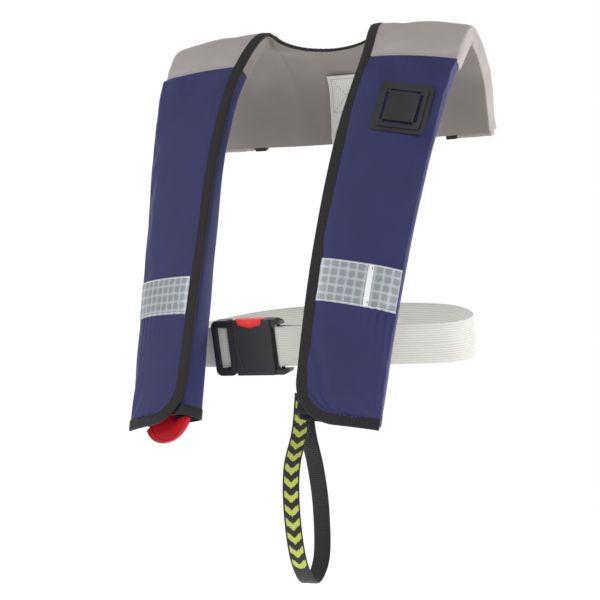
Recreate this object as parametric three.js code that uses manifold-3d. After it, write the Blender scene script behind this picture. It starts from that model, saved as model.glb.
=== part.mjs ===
// An inflatable life jacket, millimetres, +Z up, +Y towards the wearer's back, +X to the wearer's left.
// The origin lies between the tops of the wearer's shoulders. A padded yoke lies over the shoulders and
// behind the neck. A lobe hangs from it down each side of the chest: a trough-shaped tray holds the folded
// bladder, and a front flap, hinged along its outer fold, closes over it. A belt with a push-button buckle
// goes round the waist.
import * as THREE from "three";
import { mergeVertices } from "three/addons/utils/BufferGeometryUtils.js";
import Module from "manifold-3d";

const wasm = await Module();
wasm.setup();

// ---------------------------------------------------------------- driving dimensions

// The yoke and the lobes
const SHOULDER_HALF = 193; // half the width over the yoke's outer edges
const NECK_HALF = 67; // half the gap between the lobes at the top of the shoulders
const SHOULDER_FALL = 12; // drop from the neck edge to the outer edge, along the top of the shoulder
const SEAM_DROP = 54; // where yoke cloth meets flap cloth, below the top of the shoulder
const CHEST_DROP = 150;
const TAPE_DROP = 293; // top edge of the reflective tapes
const HEM_DROP = 465; // bottom edge of the lobes
const LOBE_SLANT = 10; // how much lower the outer edge of a lobe hangs than its neck edge
const BACK_DROP = 118; // bottom edge of the yoke behind the neck
const BACK_REACH = 92; // how far behind the shoulders the yoke's outer face hangs
const NECK_REACH = 25; // how far the neckline curves back
const NECK_DIP = 20; // how far the neckline dips behind the neck
const PACK_TOP = 20; // thickness of the yoke and of the lobes' upper half
const PACK_TAPE = 27; // thickness of a lobe at its reflective tape
const PACK_HEM = 36; // thickness of a lobe at its hem
const NECK_EDGE = 6; // thickness at the neckline
const PUFF = 5; // how far a flap's face swells between its edges

// Cloth, binding and webbing
const CLOTH = 2; // a laminated, quilted panel
const TRAY_WALL = 1.6;
const BINDING = 12; // width of the black edge binding
const BINDING_LIFT = 0.6; // how far the binding stands proud of the cloth on each side
const CORNER = 46; // radius of a flap's lower neck-side corner
const TRAY_INSET = 4; // the tray's neck-side wall, inside the flap's edge
const TRAY_HEM = 10; // the tray ends this far above the flap's hem
const WEBBING = 45; // belt and back strap width
const WEBBING_THICK = 2.2;
const HANDLE_WEBBING = 20;
const TAPE_LEFT = 50; // height of the reflective tape on the wearer's left
const TAPE_RIGHT = 44.5;
const TAPE_THICK = 0.6;
const TAPE_SLANT = 6; // how much each tape rises or falls towards the neck
const TAPE_FALL = { 1: 0, [-1]: 5 }; // how far each tape's outer end lies below its station
const CLOSURE = 16; // hook-and-loop strip width
const CLOSURE_THICK = 0.8;
const GAP = 0.35; // clearance between pieces that touch

// The belt and its buckle
const BELT_HALF = 178; // half the belt's width from side to side
const BELT_BACK = 114; // how far behind the shoulders the belt passes
const BELT_FRONT = 107; // how far in front of the shoulders it passes
const BELT_LOW = -371; // height of the webbing's middle at the buckle
const BELT_HIGH = -335; // and behind
const BELT_LEAN = 0.26; // tilt of the buckle, top edge forward, in radians
const BUCKLE_X = -27; // the buckle sits a little to the wearer's right
const BUCKLE_HALF = 31.5; // half the buckle's height
const BUCKLE_DEEP = 7; // half its thickness
const TONGUE_TRAVEL = 18; // how far the tongue slides to leave the body
const TONGUE_HALF = 11.5;
const BAR_R = 2.2; // radius of the bars that the belt wraps round

// The inflation system
const CYLINDER_R = 10;
const CYLINDER_LONG = 68;
const NECK_R = 6.2; // the cylinder's threaded neck
const INFLATOR = new THREE.Vector3(34, 20, 32);
const INFLATOR_UP = 95; // its middle above the hem
const LEVER_LONG = 20;
const LEVER_RISE = Math.PI / 6; // the lever's angle above level at rest
const TUBE_R = 6; // oral inflation tube
const TUBE_BORE = 4;
const TUBE_LONG = 62;

// ---------------------------------------------------------------- small helpers

const { PI, sin, cos, sqrt } = Math;
const jacket = new THREE.Group();
const at = (x, y, z) => new THREE.Vector3(x, y, z);
const mix = (a, b, k) => a + (b - a) * k;
const steps = (a, b, n) => Array.from({ length: n + 1 }, (_, i) => mix(a, b, i / n));
const SIDES = [["left", 1], ["right", -1]];

const NAVY = 0x343258;
const GREY = 0xa89e9b;
const LINING = 0x78736c;
const BLACK = 0x282626;
const WEB_GREY = 0xbebeb6;
const PLASTIC = 0x2c2a2c;
const SILVER = 0xa5acb2;
const BLADDER = 0xc8862a;

function add(name, geometry, color, roughness = 0.85, parent = jacket, metalness = 0) {
  const material = new THREE.MeshStandardMaterial({ color, roughness, metalness });
  const mesh = new THREE.Mesh(geometry, material);
  mesh.name = name;
  parent.add(mesh);
  return mesh;
}

// A closed surface from points and triangles, turned so that its faces point outwards.
function surface(points, faces) {
  const side = new THREE.Vector3();
  let volume = 0;
  for (const [a, b, c] of faces) volume += points[a].dot(side.crossVectors(points[b], points[c]));
  const index = faces.flatMap(([a, b, c]) => (volume < 0 ? [a, c, b] : [a, b, c]));
  const position = new THREE.Float32BufferAttribute(points.flatMap((p) => p.toArray()), 3);
  return new THREE.BufferGeometry().setAttribute("position", position).setIndex(index);
}

// Triangles that fill a flat ring of points.
function lid(ring, first) {
  const normal = new THREE.Vector3();
  ring.forEach((p, i) => normal.add(new THREE.Vector3().crossVectors(p, ring[(i + 1) % ring.length])));
  normal.normalize();
  const u = at(0, 0, 1).cross(normal);
  if (u.length() < 0.1) u.set(1, 0, 0).cross(normal);
  u.normalize();
  const v = new THREE.Vector3().crossVectors(normal, u);
  const flat = ring.map((p) => new THREE.Vector2(p.dot(u), p.dot(v)));
  return THREE.ShapeUtils.triangulateShape(flat, []).map(([a, b, c]) => {
    const area = flat[b].clone().sub(flat[a]).cross(flat[c].clone().sub(flat[a]));
    return (area > 0 ? [a, b, c] : [a, c, b]).map((i) => i + first);
  });
}

// A skin through closed rings of points, with a lid on each end, or joined end to end.
function loft(rings, joined = false) {
  const n = rings[0].length;
  const count = rings.length;
  const faces = [];
  for (let i = 0; i < (joined ? count : count - 1); i++) {
    const a = i * n;
    const b = ((i + 1) % count) * n;
    for (let j = 0; j < n; j++) {
      const k = (j + 1) % n;
      faces.push([a + j, a + k, b + j], [a + k, b + k, b + j]);
    }
  }
  if (!joined) {
    faces.push(...lid(rings[0], 0).map(([a, b, c]) => [a, c, b]));
    faces.push(...lid(rings[count - 1], (count - 1) * n));
  }
  return surface(rings.flat(), faces);
}

// A thick sheet between two grids of points, present only in the cells that the mask keeps.
function sheet(front, back, keeps = () => true) {
  const rows = front.length;
  const cols = front[0].length;
  const id = (layer, i, j) => layer * rows * cols + i * cols + j;
  const has = (i, j) => i >= 0 && j >= 0 && i < rows - 1 && j < cols - 1 && keeps(i, j);
  const faces = [];
  const wall = (i, j, k, l) => {
    faces.push([id(0, i, j), id(1, i, j), id(0, k, l)], [id(0, k, l), id(1, i, j), id(1, k, l)]);
  };
  for (let i = 0; i < rows - 1; i++) {
    for (let j = 0; j < cols - 1; j++) {
      if (!has(i, j)) continue;
      faces.push([id(0, i, j), id(0, i, j + 1), id(0, i + 1, j + 1)]);
      faces.push([id(0, i, j), id(0, i + 1, j + 1), id(0, i + 1, j)]);
      faces.push([id(1, i, j), id(1, i + 1, j + 1), id(1, i, j + 1)]);
      faces.push([id(1, i, j), id(1, i + 1, j), id(1, i + 1, j + 1)]);
      if (!has(i - 1, j)) wall(i, j, i, j + 1);
      if (!has(i + 1, j)) wall(i + 1, j + 1, i + 1, j);
      if (!has(i, j - 1)) wall(i + 1, j, i, j);
      if (!has(i, j + 1)) wall(i, j + 1, i + 1, j + 1);
    }
  }
  return surface([...front.flat(), ...back.flat()], faces);
}

function toSolid(geometry) {
  const bare = geometry.index ? geometry.toNonIndexed() : geometry.clone();
  for (const name of Object.keys(bare.attributes)) if (name !== "position") bare.deleteAttribute(name);
  const merged = mergeVertices(bare, 1e-4);
  const vertProperties = merged.attributes.position.array;
  const triVerts = new Uint32Array(merged.index.array);
  return new wasm.Manifold(new wasm.Mesh({ numProp: 3, vertProperties, triVerts }));
}

function toGeometry(solid) {
  const mesh = solid.getMesh();
  const position = new THREE.BufferAttribute(new Float32Array(mesh.vertProperties), 3);
  return new THREE.BufferGeometry().setAttribute("position", position).setIndex([...mesh.triVerts]);
}

const cut = (body, ...tools) => toGeometry(tools.reduce((s, t) => s.subtract(toSolid(t)), toSolid(body)));
const join = (body, ...others) => toGeometry(others.reduce((s, t) => s.add(toSolid(t)), toSolid(body)));

// A box between two corners.
function block(x0, x1, y0, y1, z0, z1) {
  const box = new THREE.BoxGeometry(x1 - x0, y1 - y0, z1 - z0);
  return box.translate((x0 + x1) / 2, (y0 + y1) / 2, (z0 + z1) / 2);
}

// A cylinder along Z from z0 to z1.
function rod(r, z0, z1, x = 0, y = 0, sides = 14) {
  const cylinder = new THREE.CylinderGeometry(r, r, z1 - z0, sides).rotateX(PI / 2);
  return cylinder.translate(x, y, (z0 + z1) / 2);
}

// A flat outline in X and Z, y0 to y1 thick.
function plate(shape, y0, y1) {
  const body = new THREE.ExtrudeGeometry(shape, { depth: y1 - y0, bevelEnabled: false, curveSegments: 6 });
  return body.rotateX(PI / 2).translate(0, y1, 0);
}

function roundedShape(x0, x1, z0, z1, r) {
  const shape = new THREE.Shape();
  shape.moveTo(x0 + r, z0);
  shape.lineTo(x1 - r, z0);
  shape.absarc(x1 - r, z0 + r, r, -PI / 2, 0, false);
  shape.lineTo(x1, z1 - r);
  shape.absarc(x1 - r, z1 - r, r, 0, PI / 2, false);
  shape.lineTo(x0 + r, z1);
  shape.absarc(x0 + r, z1 - r, r, PI / 2, PI, false);
  shape.lineTo(x0, z0 + r);
  shape.absarc(x0 + r, z0 + r, r, PI, 1.5 * PI, false);
  return shape;
}

const roundedPlate = (x0, x1, y0, y1, z0, z1, r) => plate(roundedShape(x0, x1, z0, z1, r), y0, y1);
const outline = (points) => new THREE.Shape(points.map(([x, z]) => new THREE.Vector2(x, z)));

// A profile of radius and height, turned about Z.
function turned(profile, sides = 14) {
  const points = profile.map(([r, z]) => new THREE.Vector2(r, z));
  const climbs = THREE.ShapeUtils.area(points) > 0;
  return new THREE.LatheGeometry(climbs ? points : points.reverse(), sides).rotateX(PI / 2);
}

// A strip of webbing whose middle follows a path; across(i) is the direction of its width.
function ribbon(path, across, width, thick, joined = false) {
  const rings = path.map((p, i) => {
    const before = path[joined ? (i + path.length - 1) % path.length : Math.max(i - 1, 0)];
    const after = path[joined ? (i + 1) % path.length : Math.min(i + 1, path.length - 1)];
    const along = after.clone().sub(before).normalize();
    const wide = across(p, i).clone().normalize();
    const out = along.cross(wide).normalize();
    const corner = (a, b) => p.clone().addScaledVector(wide, (a * width) / 2).addScaledVector(out, (b * thick) / 2);
    return [corner(1, 1), corner(-1, 1), corner(-1, -1), corner(1, -1)];
  });
  return loft(rings, joined);
}

// A round cord along points chosen by hand.
function cord(points, r) {
  const curve = new THREE.CatmullRomCurve3(points, false, "centripetal");
  const section = new THREE.Shape();
  section.absarc(0, 0, r, 0, 2 * PI, false);
  return new THREE.ExtrudeGeometry(section, { steps: 14, curveSegments: 4, extrudePath: curve });
}

// A coil spring along Z.
function coil(r, wire, z0, z1, turns) {
  const count = turns * 8;
  const rings = steps(0, turns * 2 * PI, count).map((angle, i) => {
    const z = mix(z0 + wire, z1 - wire, i / count);
    const out = at(cos(angle), sin(angle), 0);
    return steps(0, 4 / 5, 4).map((k) => {
      const a = k * 2 * PI;
      return out.clone().multiplyScalar(r + wire * cos(a)).add(at(0, 0, z + wire * sin(a)));
    });
  });
  return loft(rings);
}

// ---------------------------------------------------------------- the drape: where every soft piece lies

// The wearer's left half is described and the right half mirrors it. A station number t runs along each half:
// -2 the yoke's bottom edge behind, -1 halfway up, 0 the top of the shoulder, 1 the cloth seam,
// 2 the chest, 3 the top of the tape, 4 the hem.
const outerEdge = new THREE.CatmullRomCurve3([
  at(SHOULDER_HALF - 3, BACK_REACH - 17, -BACK_DROP),
  at(SHOULDER_HALF, BACK_REACH - 46, -BACK_DROP * 0.42),
  at(SHOULDER_HALF, 0, -SHOULDER_FALL),
  at(SHOULDER_HALF - 3, -39, -SEAM_DROP),
  at(SHOULDER_HALF - 13, -81, -CHEST_DROP),
  at(SHOULDER_HALF - 27, -123, -TAPE_DROP),
  at(SHOULDER_HALF - 37, -165, -HEM_DROP),
]);
const neckEdge = new THREE.CatmullRomCurve3([
  at(NECK_HALF, BACK_REACH, -BACK_DROP),
  at(NECK_HALF, BACK_REACH - 34, -BACK_DROP * 0.27),
  at(NECK_HALF, 0, 0),
  at(NECK_HALF + 9, -50, -SEAM_DROP + LOBE_SLANT * 0.8),
  at(NECK_HALF + 7, -107, -CHEST_DROP + LOBE_SLANT),
  at(NECK_HALF + 2, -156, -TAPE_DROP + LOBE_SLANT),
  at(NECK_HALF + 2, -199, -HEM_DROP + LOBE_SLANT),
]);
const DEPTHS = [PACK_TOP, PACK_TOP, PACK_TOP, PACK_TOP, PACK_TOP, PACK_TAPE, PACK_HEM];
const BACK = -2;
const CREST = 0;
const SEAM = 1;
const TAPE = 3;
const HEM = 4;
const onCurve = (curve, t) => curve.getPoint((t - BACK) / (HEM - BACK));
const midOf = (t) => onCurve(outerEdge, t).lerp(onCurve(neckEdge, t), 0.5);
const spanBetween = (a, b) => midOf(a).distanceTo(midOf(b));
const LAST_SPAN = spanBetween(TAPE, HEM);
const BACK_SPAN = spanBetween(-1, CREST);
const up = (mm) => HEM - mm / LAST_SPAN; // the station that lies this far above the hem

function depthAt(t) {
  const place = Math.min(Math.max(t - BACK, 0), HEM - BACK - 1e-9);
  const i = Math.floor(place);
  return mix(DEPTHS[i], DEPTHS[i + 1], place - i);
}

function rowAt(t) {
  const outer = onCurve(outerEdge, t);
  const across = onCurve(neckEdge, t).sub(outer);
  const width = across.length();
  across.normalize();
  const low = Math.max(t - 0.02, BACK);
  const high = Math.min(t + 0.02, HEM);
  const down = midOf(high).sub(midOf(low)).normalize();
  const inward = down.clone().cross(across).normalize();
  return { outer, across, width, down, inward, depth: depthAt(t) };
}

// A point of one half. f is the share of the width from the outer edge and dv millimetres more;
// g is the share of the thickness from the outer face and dw millimetres more.
function place(side, t, [f, dv, g, dw]) {
  const row = rowAt(t);
  const q = f + dv / row.width;
  const swell = PUFF * 4 * Math.max(q * (1 - q), 0) * (1 - g);
  const p = row.outer.addScaledVector(row.across, q * row.width);
  p.addScaledVector(row.inward, g * row.depth + dw - swell);
  p.x *= side;
  return p;
}

// A point of the yoke's middle, between the two halves: x runs from -NECK_HALF to NECK_HALF.
function placeMiddle(x, t, g, dw) {
  const row = rowAt(t);
  const bow = sqrt(Math.max(1 - (x / NECK_HALF) ** 2, 0));
  const share = 1 - t / BACK;
  const edge = onCurve(neckEdge, t);
  const thick = mix(row.depth, mix(row.depth, NECK_EDGE, bow), share);
  const inward = at((row.inward.x * x) / NECK_HALF, row.inward.y, row.inward.z).normalize();
  const p = at(x, edge.y + NECK_REACH * bow * share, edge.z - NECK_DIP * bow * share);
  return p.addScaledVector(inward, g * thick + dw);
}

// ---------------------------------------------------------------- the lobes

const flapEdge = CLOTH + BINDING_LIFT;
const STRIP_BACK = CLOTH + GAP; // the hook strip lies on the flap's inner face
const LOOP_BACK = STRIP_BACK + CLOSURE_THICK + GAP;
const LIP = LOOP_BACK + CLOSURE_THICK + GAP; // the tray's front lip carries the loop strip
const LIP_WIDE = CLOSURE + 2;
const seamStart = SEAM + GAP / spanBetween(SEAM, 2);
const flapRows = [...steps(seamStart, TAPE, 8), ...steps(TAPE, up(CORNER), 4).slice(1)];

// The flap's cloth stops at the binding; its rows below the corner's start follow the same arc.
const clothCorner = CORNER - BINDING - GAP;
const cornerAngles = steps(0, PI / 2, 8).slice(1);

function flapPanel(side) {
  const straight = flapRows.map((t) => [t, -BINDING - GAP]);
  const corner = cornerAngles.map((a) => [up(CORNER - clothCorner * sin(a)), clothCorner * cos(a) - CORNER]);
  const grid = (dw) =>
    [...straight, ...corner].map(([t, reach]) => steps(0, 1, 7).map((f) => place(side, t, [f, reach * f, 0, dw])));
  return sheet(grid(0), grid(CLOTH));
}

function flapBinding(side) {
  const pairs = flapRows.map((t) => [[t, 1, 0], [t, 1, -BINDING]]);
  for (const angle of cornerAngles) {
    const spot = (r) => [up(CORNER - r * sin(angle)), 1, -CORNER + r * cos(angle)];
    pairs.push([spot(CORNER), spot(CORNER - BINDING)]);
  }
  const width = rowAt(HEM).width;
  for (const v of steps(width - CORNER, 0, 5).slice(1)) pairs.push([[HEM, 0, v], [up(BINDING), 0, v]]);
  const grid = (dw) => pairs.map((pair) => pair.map(([t, f, dv]) => place(side, t, [f, dv, 0, dw])));
  return sheet(grid(-BINDING_LIFT), grid(flapEdge));
}

const trayRing = [
  [0, 1, 0, LIP],
  [0, 1, 1, -7],
  [0, 3, 1, -2],
  [0, 8, 1, 0],
  [0.5, 0, 1, 0],
  [1, -TRAY_INSET - 7, 1, 0],
  [1, -TRAY_INSET - 2, 1, -2],
  [1, -TRAY_INSET, 1, -7],
  [1, -TRAY_INSET, 0, LIP],
  [1, -TRAY_INSET - LIP_WIDE, 0, LIP],
  [1, -TRAY_INSET - LIP_WIDE, 0, LIP + TRAY_WALL],
  [1, -TRAY_INSET - TRAY_WALL, 0, LIP + TRAY_WALL],
  [1, -TRAY_INSET - TRAY_WALL, 1, -7],
  [1, -TRAY_INSET - 7, 1, -TRAY_WALL],
  [0.5, 0, 1, -TRAY_WALL],
  [0, 8, 1, -TRAY_WALL],
  [0, 1 + TRAY_WALL, 1, -7],
  [0, 1 + TRAY_WALL, 0, LIP],
];
const trayEnd = TRAY_HEM + BINDING;
const tray = (side, rows) => loft(rows.map((t) => trayRing.map((spec) => place(side, t, spec))));

function strip(side, rows, from, to, w0, w1, columns = 1) {
  const grid = (dw) =>
    rows.map((t) =>
      steps(0, 1, columns).map((k) => place(side, t, [mix(from[0], to[0], k), mix(from[1], to[1], k), 0, dw])),
    );
  return sheet(grid(w0), grid(w1));
}

// A strip of tape on a flap. The tapes aren't sewn on quite level, so each rises towards the neck by its own amount.
function tapeStrip(side, tall, from, to, layer, columns) {
  const top = -layer * (GAP + TAPE_THICK) - GAP - TAPE_THICK;
  const rise = side > 0 ? TAPE_SLANT : -TAPE_SLANT;
  const grid = (dw) =>
    steps(layer, tall, 2).map((below) =>
      steps(0, 1, columns).map((k) => {
        const f = mix(from[0], to[0], k);
        const dv = mix(from[1], to[1], k);
        const share = f + dv / rowAt(TAPE).width;
        return place(side, TAPE + (below + TAPE_FALL[side] - rise * share) / LAST_SPAN, [f, dv, 0, dw]);
      }),
    );
  return sheet(grid(top), grid(top + TAPE_THICK));
}

for (const [name, side] of SIDES) {
  add(`front_flap_${name}`, flapPanel(side), NAVY);
  add(`flap_binding_${name}`, flapBinding(side), BLACK);
  add(`cover_tray_${name}`, tray(side, [...flapRows, up(trayEnd)]), NAVY);
  add(`tray_hem_binding_${name}`, tray(side, steps(up(trayEnd - GAP), up(TRAY_HEM), 1)), BLACK);

  const closureRows = flapRows.slice(1, -2);
  const outerSide = [1, -BINDING - CLOSURE - 1];
  const neckSide = [1, -BINDING - 1];
  const loopOuter = [1, -TRAY_INSET - LIP_WIDE + 1];
  const loopNeck = [1, -TRAY_INSET - 1];
  add(`closure_hook_${name}`, strip(side, closureRows, outerSide, neckSide, STRIP_BACK, STRIP_BACK + CLOSURE_THICK), BLACK);
  add(`closure_loop_${name}`, strip(side, closureRows, loopOuter, loopNeck, LOOP_BACK, LOOP_BACK + CLOSURE_THICK), BLACK);

  const tall = side > 0 ? TAPE_LEFT : TAPE_RIGHT;
  const tape = tapeStrip(side, tall, [0, 1.5], [1, -BINDING - 0.5], 0, 7);
  add(`reflective_tape_${name}`, tape, SILVER, 0.35);
}

// The narrow bar that covers the joint of the left tape.
add("tape_joint_bar", tapeStrip(1, TAPE_LEFT - 2, [0, 32], [0, 38], 1, 1), 0xe8e8e8, 0.4);

// ---------------------------------------------------------------- the yoke

// Columns of the yoke run from the wearer's left outer edge to the right one. Each holds the side, the
// place across and the depth of its outer and inner face; the middle columns hold x instead.
const neckStart = -BINDING / BACK_SPAN; // the cloth behind the neck starts under the binding
const middleAngles = steps(PI / 2, -PI / 2, 10);
const middleX = middleAngles.map((a) => NECK_HALF * sin(a));
const spot = (column, t, face) =>
  "x" in column ? placeMiddle(column.x, t, ...column[face]) : place(column.side, t, column[face]);

function yokeSheet(strap, middle, rows, keeps) {
  const half = (side) => strap.map(([front, back]) => ({ side, front, back }));
  const centre = middleX.map((x) => ({ x, front: middle[0], back: middle[1] }));
  const columns = [...half(1), ...centre, ...half(-1).reverse()];
  const grid = (face) => rows.map((t) => columns.map((column) => spot(column, t, face)));
  const first = strap.length - 1;
  const last = columns.length - strap.length;
  return sheet(grid("front"), grid("back"), (i, j) => j < first || j >= last || keeps(rows[i], rows[i + 1]));
}

const yokeRows = [...steps(BACK, -1, 4), ...steps(-1, neckStart, 4).slice(1), ...steps(0, SEAM, 5)];
const coverStrap = [
  [[0, 0, 1, -CLOTH - 2 * GAP], [0, CLOTH, 1, -CLOTH - 2 * GAP]],
  [[0, 0, 0, 6], [0, CLOTH, 0, 7]],
  [[0, 2, 0, 1], [0, 4, 0, CLOTH + 1.5]],
  [[0, 7, 0, 0], [0, 8, 0, CLOTH]],
  [[0.33, 0, 0, 0], [0.33, 0, 0, CLOTH]],
  [[0.66, 0, 0, 0], [0.66, 0, 0, CLOTH]],
  [[1, -BINDING - GAP, 0, 0], [1, -BINDING - GAP, 0, CLOTH]],
];
const behindNeck = (a, b) => a <= neckStart + 1e-6 && b <= neckStart + 1e-6;
add("yoke_cover", yokeSheet(coverStrap, [[0, 0], [0, CLOTH]], yokeRows, behindNeck), GREY);

// The lining is a trough under each shoulder, whose neck-side wall flattens out behind the neck.
const liningFlat = [1, CLOTH + GAP];
const blendTo = (k) => Math.min(Math.max(k, 0), 1);

function liningSheet() {
  const wallSpecs = [[1, -TRAY_INSET, 1, -4], [1, -TRAY_INSET, 0, flapEdge + GAP]];
  const wallBacks = [[1, -TRAY_INSET - CLOTH, 1, -4], [1, -TRAY_INSET - CLOTH, 0, flapEdge + GAP]];
  const floor = [[0, CLOTH + GAP, 1], [0.25, 0, 1], [0.5, 0, 1], [0.75, 0, 1], [1, -TRAY_INSET - 4, 1]];
  const wallSpot = (side, specs, i, t, dw) => {
    const flat = blendTo((0.1 - t) / (0.1 - neckStart));
    const upright = place(side, t, specs[i]);
    const x = NECK_HALF * side;
    return upright.lerp(placeMiddle(i ? x : x * 1.03, Math.min(t, 0), 1, dw), flat);
  };
  const half = (side, t, dw, specs) => [
    ...floor.map(([f, dv, g]) => place(side, t, [f, dv, g, dw])),
    ...[0, 1].map((i) => wallSpot(side, specs, i, t, dw)),
  ];
  const inner = middleX.slice(1, -1);
  const grid = (dw, specs) =>
    yokeRows.map((t) => [
      ...half(1, t, dw, specs),
      ...inner.map((x) => placeMiddle(x, t, 1, dw)),
      ...half(-1, t, dw, specs).reverse(),
    ]);
  const strap = floor.length + 2;
  const last = 2 * strap + inner.length - 1;
  const keeps = (i, j) => j < strap - 1 || j >= last - strap + 1 || behindNeck(yokeRows[i], yokeRows[i + 1]);
  return sheet(grid(0, wallSpecs), grid(-CLOTH, wallBacks), keeps);
}
add("yoke_lining", liningSheet(), LINING);

// The neckline's binding runs down each neck edge to the cloth seam. Each rung goes from the edge inwards.
const innerRow = neckStart + 0.01;

function neckRungs(side) {
  const corner = (share) => (dw) => placeMiddle(side * NECK_HALF * share, 0, 0, dw);
  const rungs = steps(SEAM, 0, 5).map((t) => [
    (dw) => place(side, t, [1, 0, 0, dw]),
    (dw) => place(side, t, [1, -BINDING, 0, dw]),
  ]);
  rungs.push([corner(0.999), (dw) => place(side, innerRow, [1, -BINDING, 0, dw])]);
  rungs.push([corner(0.99), (dw) => placeMiddle(side * NECK_HALF, innerRow, 0, dw)]);
  return rungs;
}

function neckBinding() {
  const middle = middleX.slice(1, -1).map((x) => [
    (dw) => placeMiddle(x, 0, 0, dw),
    (dw) => placeMiddle(x, innerRow, 0, dw),
  ]);
  const rungs = [...neckRungs(1), ...middle, ...neckRungs(-1).reverse()];
  const grid = (dw) => rungs.map(([edge, inner]) => [edge(dw), inner(dw)]);
  return sheet(grid(-BINDING_LIFT), grid(flapEdge));
}
add("neck_binding", neckBinding(), BLACK);

// The padded ends of the yoke's cover hang a little below it behind each shoulder.
const REAR_PAD = { low: 8, from: 6, to: 56, thick: 11, end: 14 };

function rearPad(side, v0, v1) {
  const rise = rowAt(BACK).down.multiply(at(side, 1, 1));
  const face = (dw) =>
    [GAP, REAR_PAD.low].map((low) =>
      steps(v0, v1, 3).map((v) => place(side, BACK, [0, v, 0, dw]).addScaledVector(rise, -low)),
    );
  return sheet(face(0), face(REAR_PAD.thick));
}

for (const [name, side] of SIDES) {
  add(`rear_pad_${name}`, rearPad(side, REAR_PAD.from, REAR_PAD.to), GREY);
  add(`rear_pad_end_${name}`, rearPad(side, REAR_PAD.to + GAP, REAR_PAD.to + REAR_PAD.end), BLACK);
}

// ---------------------------------------------------------------- the bladder

// One horseshoe of coated fabric, folded flat: thick in the chest, thin behind the inflation gear.
const FOLD = 3; // thickness of the bladder behind the gear
const GEAR_TOP = up(208); // the bladder is thin below this station
const bladderStart = -0.3; // it stays clear of the neckline
const bladderFloor = CLOTH + 3 * GAP;

function bladderFace(f, dv) {
  return [[f, dv, 0, LIP + TRAY_WALL + 2 * GAP], [f, dv, 1, -bladderFloor]];
}

function bladder() {
  const strap = [bladderFace(0, 9), bladderFace(0.3, 0), bladderFace(0.6, 0), bladderFace(1, -TRAY_INSET - 10)];
  const rows = [...steps(BACK + 0.12, bladderStart, 5), ...steps(0, GEAR_TOP, 9), ...steps(GEAR_TOP + 0.15, up(28), 4)];
  const thin = (t) => (t > GEAR_TOP + 0.01 ? 1 : 0);
  const half = (side) => strap.map(([front, back]) => ({ side, front, back }));
  const centre = middleX.slice(1, -1).map((x) => ({ x: x * 0.97 }));
  const columns = [...half(1), ...centre, ...half(-1).reverse()];
  const front = (c, t) => {
    if ("x" in c) return placeMiddle(c.x, t, 0, CLOTH + 1.5);
    const [f, dv] = c.front;
    return thin(t) ? place(c.side, t, [f, dv, 1, -bladderFloor - FOLD]) : place(c.side, t, c.front);
  };
  const back = (c, t) => ("x" in c ? placeMiddle(c.x, t, 1, -bladderFloor) : place(c.side, t, c.back));
  const grid = (face) => rows.map((t) => columns.map((c) => face(c, t)));
  const first = strap.length - 1;
  const last = columns.length - strap.length;
  return sheet(grid(front), grid(back), (i, j) => j < first || j >= last || rows[i + 1] <= bladderStart + 1e-6);
}
add("bladder", bladder(), BLADDER, 0.7);

// ---------------------------------------------------------------- the belt

// The buckle's own frame: x along the belt, y backwards, z up, tilted with its top edge forward.
const buckle = new THREE.Group();
buckle.position.set(BUCKLE_X, -BELT_FRONT, BELT_LOW);
buckle.rotation.x = BELT_LEAN;
buckle.updateMatrixWorld(true);
jacket.add(buckle);

const FEMALE_BAR = at(31, 2.4, 0); // the bars that the webbing wraps round
const SLIDE_BAR = at(-37, 1.6, 0);
const WRAP_R = BAR_R + GAP + WEBBING_THICK / 2;
const LOOP_TAIL = 34; // sewn tail behind the female bar
const FREE_TAIL = 22; // adjusting tail behind the slide bar

const bucklePoint = (x, y) => at(x, y, 0).applyMatrix4(buckle.matrixWorld);
const wrap = (bar, from, to) =>
  steps(from, to, 6).map((a) => bucklePoint(bar.x + WRAP_R * cos(a), bar.y + WRAP_R * sin(a)));

const beltShare = (y) => blendTo((y + BELT_FRONT) / (BELT_BACK + BELT_FRONT));
const beltPoint = (x, y) => at(x, y, mix(BELT_LOW, BELT_HIGH, beltShare(y) ** 2.2));
const BELT_STATION = up(105); // where the belt passes behind the lobes
const BELT_CLEAR = 21; // room between a lobe and the belt, for the buckle to be held and pressed
const LOOP_SHARE = 0.22; // each lobe's belt loop lies near its outer edge
const STRAP_END = 83; // the adjusting strap ends this far from the buckle's middle
const BELT_END = STRAP_END - 13; // and the belt starts here, behind it
const LAYER = WEBBING_THICK + GAP;
const LOOP_SIDE = 112; // the belt is straight in front as far as this
const STRAP_BEND = 58; // the strap lies against the belt from here on

// The belt passes through the loop behind each lobe and goes round the waist.
function waistPoints(side) {
  const loop = place(side, BELT_STATION, [LOOP_SHARE, 0, 1, BELT_CLEAR]);
  const around = [[1, -0.14], [0.955, 0.42], [0.66, 0.86]];
  return [loop, ...around.map(([x, y]) => at(side * x * BELT_HALF, y * BELT_BACK, 0))];
}

function beltPath() {
  const start = [bucklePoint(FEMALE_BAR.x + LOOP_TAIL, 4.4), bucklePoint(FEMALE_BAR.x + 10, 5.6)];
  const female = wrap(FEMALE_BAR, PI / 2, 1.5 * PI);
  const out = bucklePoint(FEMALE_BAR.x + 30, -0.4);
  const straight = at(LOOP_SIDE, -BELT_FRONT, 0);
  const end = [LOOP_SIDE, BELT_END - BUCKLE_X].map((x) => at(-x, -BELT_FRONT + LAYER + 1, 0));
  const waist = [straight, ...waistPoints(1), at(0, BELT_BACK, 0), ...waistPoints(-1).reverse(), ...end];
  const main = new THREE.CatmullRomCurve3([female.at(-1), out, ...waist.map((p) => beltPoint(p.x, p.y))]);
  return [...start, ...female, ...main.getPoints(64).slice(1)];
}

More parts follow.
